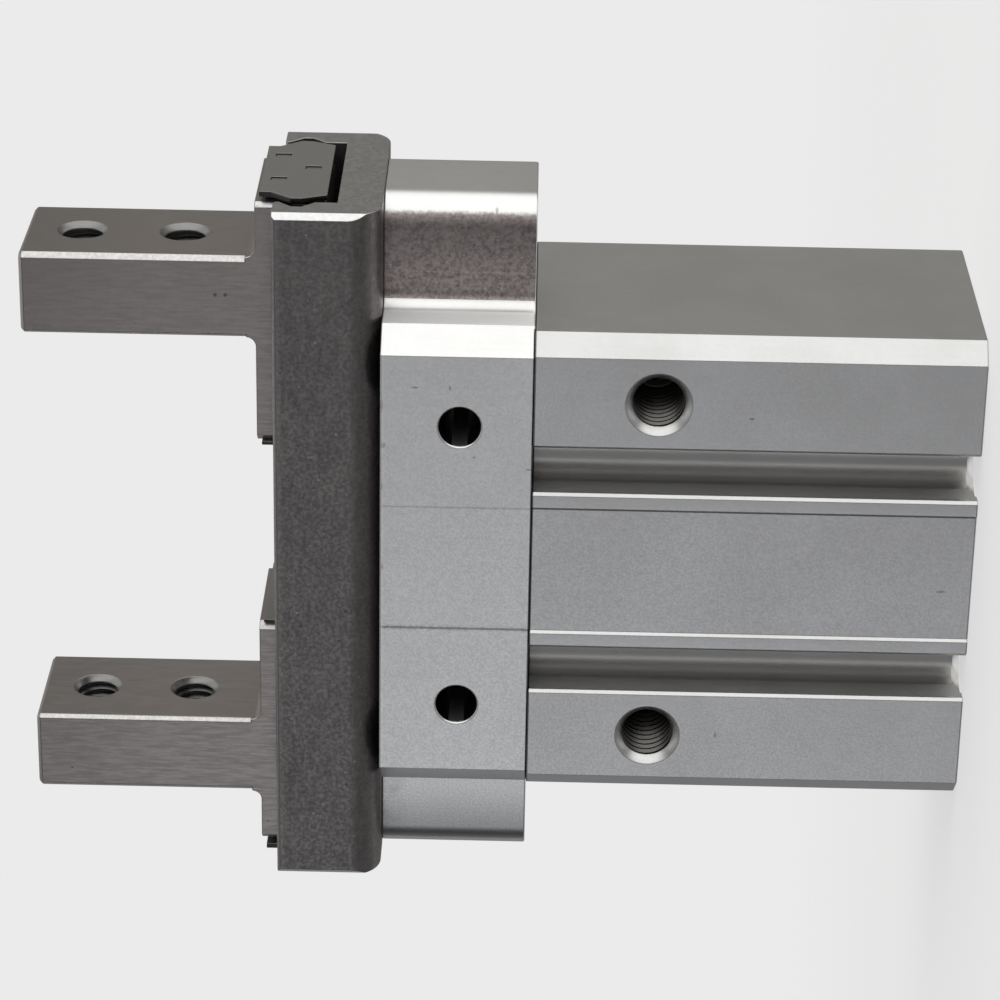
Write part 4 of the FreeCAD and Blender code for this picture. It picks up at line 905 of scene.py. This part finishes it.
machinedPieces = {        # edge break in mm, and the share of it that slanting edges get
    "cylinder_body": {"edgeBreak": 0.14, "slantShare": 0.35, "threads": bodyThreads},
    "head_block": {"edgeBreak": 0.14, "slantShare": 0.35, "finish": headFinish},
    "guide_rail": {"edgeBreak": 0.1, "slantShare": 0.7},
    "finger_right": {"edgeBreak": 0.1, "slantShare": 0.7, "threads": [fingerThreads(1)]},
    "finger_left": {"edgeBreak": 0.1, "slantShare": 0.7, "threads": [fingerThreads(-1)]},
    "outer_stop_right": {"edgeBreak": 0.05, "slantShare": 0.7},
    "outer_stop_left": {"edgeBreak": 0.05, "slantShare": 0.7},
    "inner_stop_right": {"edgeBreak": 0.05, "slantShare": 0.7},
    "inner_stop_left": {"edgeBreak": 0.05, "slantShare": 0.7},
    "rear_cap": {"edgeBreak": 0.12, "slantShare": 0.5},
}

for node, setup in machinedPieces.items():
    piece = machined(node, {"finish": finishes[slotOf[node]], **setup})
    print("machined:", piece.name, len(piece.data.polygons), "faces")


# Light: a wide bright window to one side, dimmer panels all round, and a dark card beside the front one

lightSetup = {
    "backdrop": 0.83,
    "ambient": (0.2, 0.2, 0.2),
    "panels": {        # degrees: where it stands, the reach of its full light, and where it has faded
        "window": {"azimuth": -8, "height": 0, "full": 36, "fade": 62, "colour": (1.12, 1.12, 1.1)},
        "front": {"azimuth": -125, "height": 0, "full": 2, "fade": 19, "colour": (0.605, 0.616, 0.645)},
        "back": {"azimuth": 84, "height": 10, "full": 10, "fade": 60, "colour": (0.075, 0.068, 0.048)},
        "card": {"azimuth": -147, "height": 0, "full": 8, "fade": 28, "colour": (-0.16, -0.16, -0.16)},
        "side": {"azimuth": 156, "height": 0, "full": 8, "fade": 28, "colour": (0.05, 0.055, 0.06)},
        "low": {"azimuth": 70, "height": -70, "full": 18, "fade": 40, "colour": (0.8, 0.8, 0.8)},
        "top": {"azimuth": 75, "height": 70, "full": 15, "fade": 48, "colour": (0.75, 0.75, 0.75)},
    },
}


def lightWorld():
    setup = lightSetup
    world = bpy.data.worlds.new("studio")
    world.use_nodes = True
    tree = world.node_tree
    tree.nodes.clear()
    ray = addNode(tree, "ShaderNodeTexCoord").outputs["Generated"]
    light = setup["ambient"]
    for panel in setup["panels"].values():
        azimuth = math.radians(panel["azimuth"])
        height = math.radians(panel["height"])
        level = math.cos(height)
        middle = (level * math.cos(azimuth), level * math.sin(azimuth), math.sin(height))
        near = onVectors(tree, "DOT_PRODUCT", ray, middle)
        outer = math.cos(math.radians(panel["fade"]))
        inner = math.cos(math.radians(panel["full"]))
        share = spread(tree, near, outer, inner)
        parts = {0: share, 1: panel["colour"], 2: light}
        light = addNode(tree, "ShaderNodeVectorMath", parts, operation="MULTIPLY_ADD").outputs["Vector"]
    lit = addNode(tree, "ShaderNodeBackground", {"Color": light, "Strength": 1.0})
    seen = addNode(tree, "ShaderNodeBackground", {"Color": grey(setup["backdrop"]), "Strength": 1.0})
    direct = addNode(tree, "ShaderNodeLightPath").outputs["Is Camera Ray"]
    both = addNode(tree, "ShaderNodeMixShader", {0: direct, 1: lit.outputs[0], 2: seen.outputs[0]})
    addNode(tree, "ShaderNodeOutputWorld", {"Surface": both.outputs[0]})
    scene.world = world


lightWorld()
scene.view_settings.view_transform = "Standard"


# Floor: a pale disc that fades out, so that no edge of it shows, and is clear from below

floorSetup = {
    "radius": 240 * mm,
    "fade": (0.3, 0.98),        # shares of the radius, where it starts to fade and is gone
    "gap": 0.02,        # mm below the rear face
    "colour": 0.45,
    "glow": 0.55,
}


def layFloor():
    setup = floorSetup
    shape = bmesh.new()
    bmesh.ops.create_circle(shape, cap_ends=True, segments=96, radius=setup["radius"])
    mesh = bpy.data.meshes.new("floor")
    shape.to_mesh(mesh)
    shape.free()
    floor = bpy.data.objects.new("floor", mesh)
    scene.collection.objects.link(floor)
    material = bpy.data.materials.new("paleFloor")
    material.use_nodes = True
    tree = material.node_tree
    tree.nodes.clear()
    place = addNode(tree, "ShaderNodeTexCoord").outputs["Object"]
    away = onVectors(tree, "LENGTH", place)
    fadeFrom, fadeTo = setup["fade"]
    fade = spread(tree, away, setup["radius"] * fadeFrom, setup["radius"] * fadeTo)
    below = addNode(tree, "ShaderNodeNewGeometry").outputs["Backfacing"]
    matt = addNode(tree, "ShaderNodeBsdfDiffuse", {"Color": grey(setup["colour"])})
    glow = addNode(tree, "ShaderNodeEmission", {"Color": grey(1.0), "Strength": setup["glow"]})
    pale = addNode(tree, "ShaderNodeAddShader", {0: matt.outputs[0], 1: glow.outputs[0]})
    clear = addNode(tree, "ShaderNodeBsdfTransparent")
    hidden = calc(tree, "MAXIMUM", fade, below)
    both = addNode(tree, "ShaderNodeMixShader", {0: hidden, 1: pale.outputs[0], 2: clear.outputs[0]})
    addNode(tree, "ShaderNodeOutputMaterial", {"Surface": both.outputs[0]})
    mesh.materials.append(material)
    floor.location.z = -setup["gap"] * mm
    floor.visible_glossy = False        # the metal mirrors the panels alone


layFloor()
print("light and floor set")
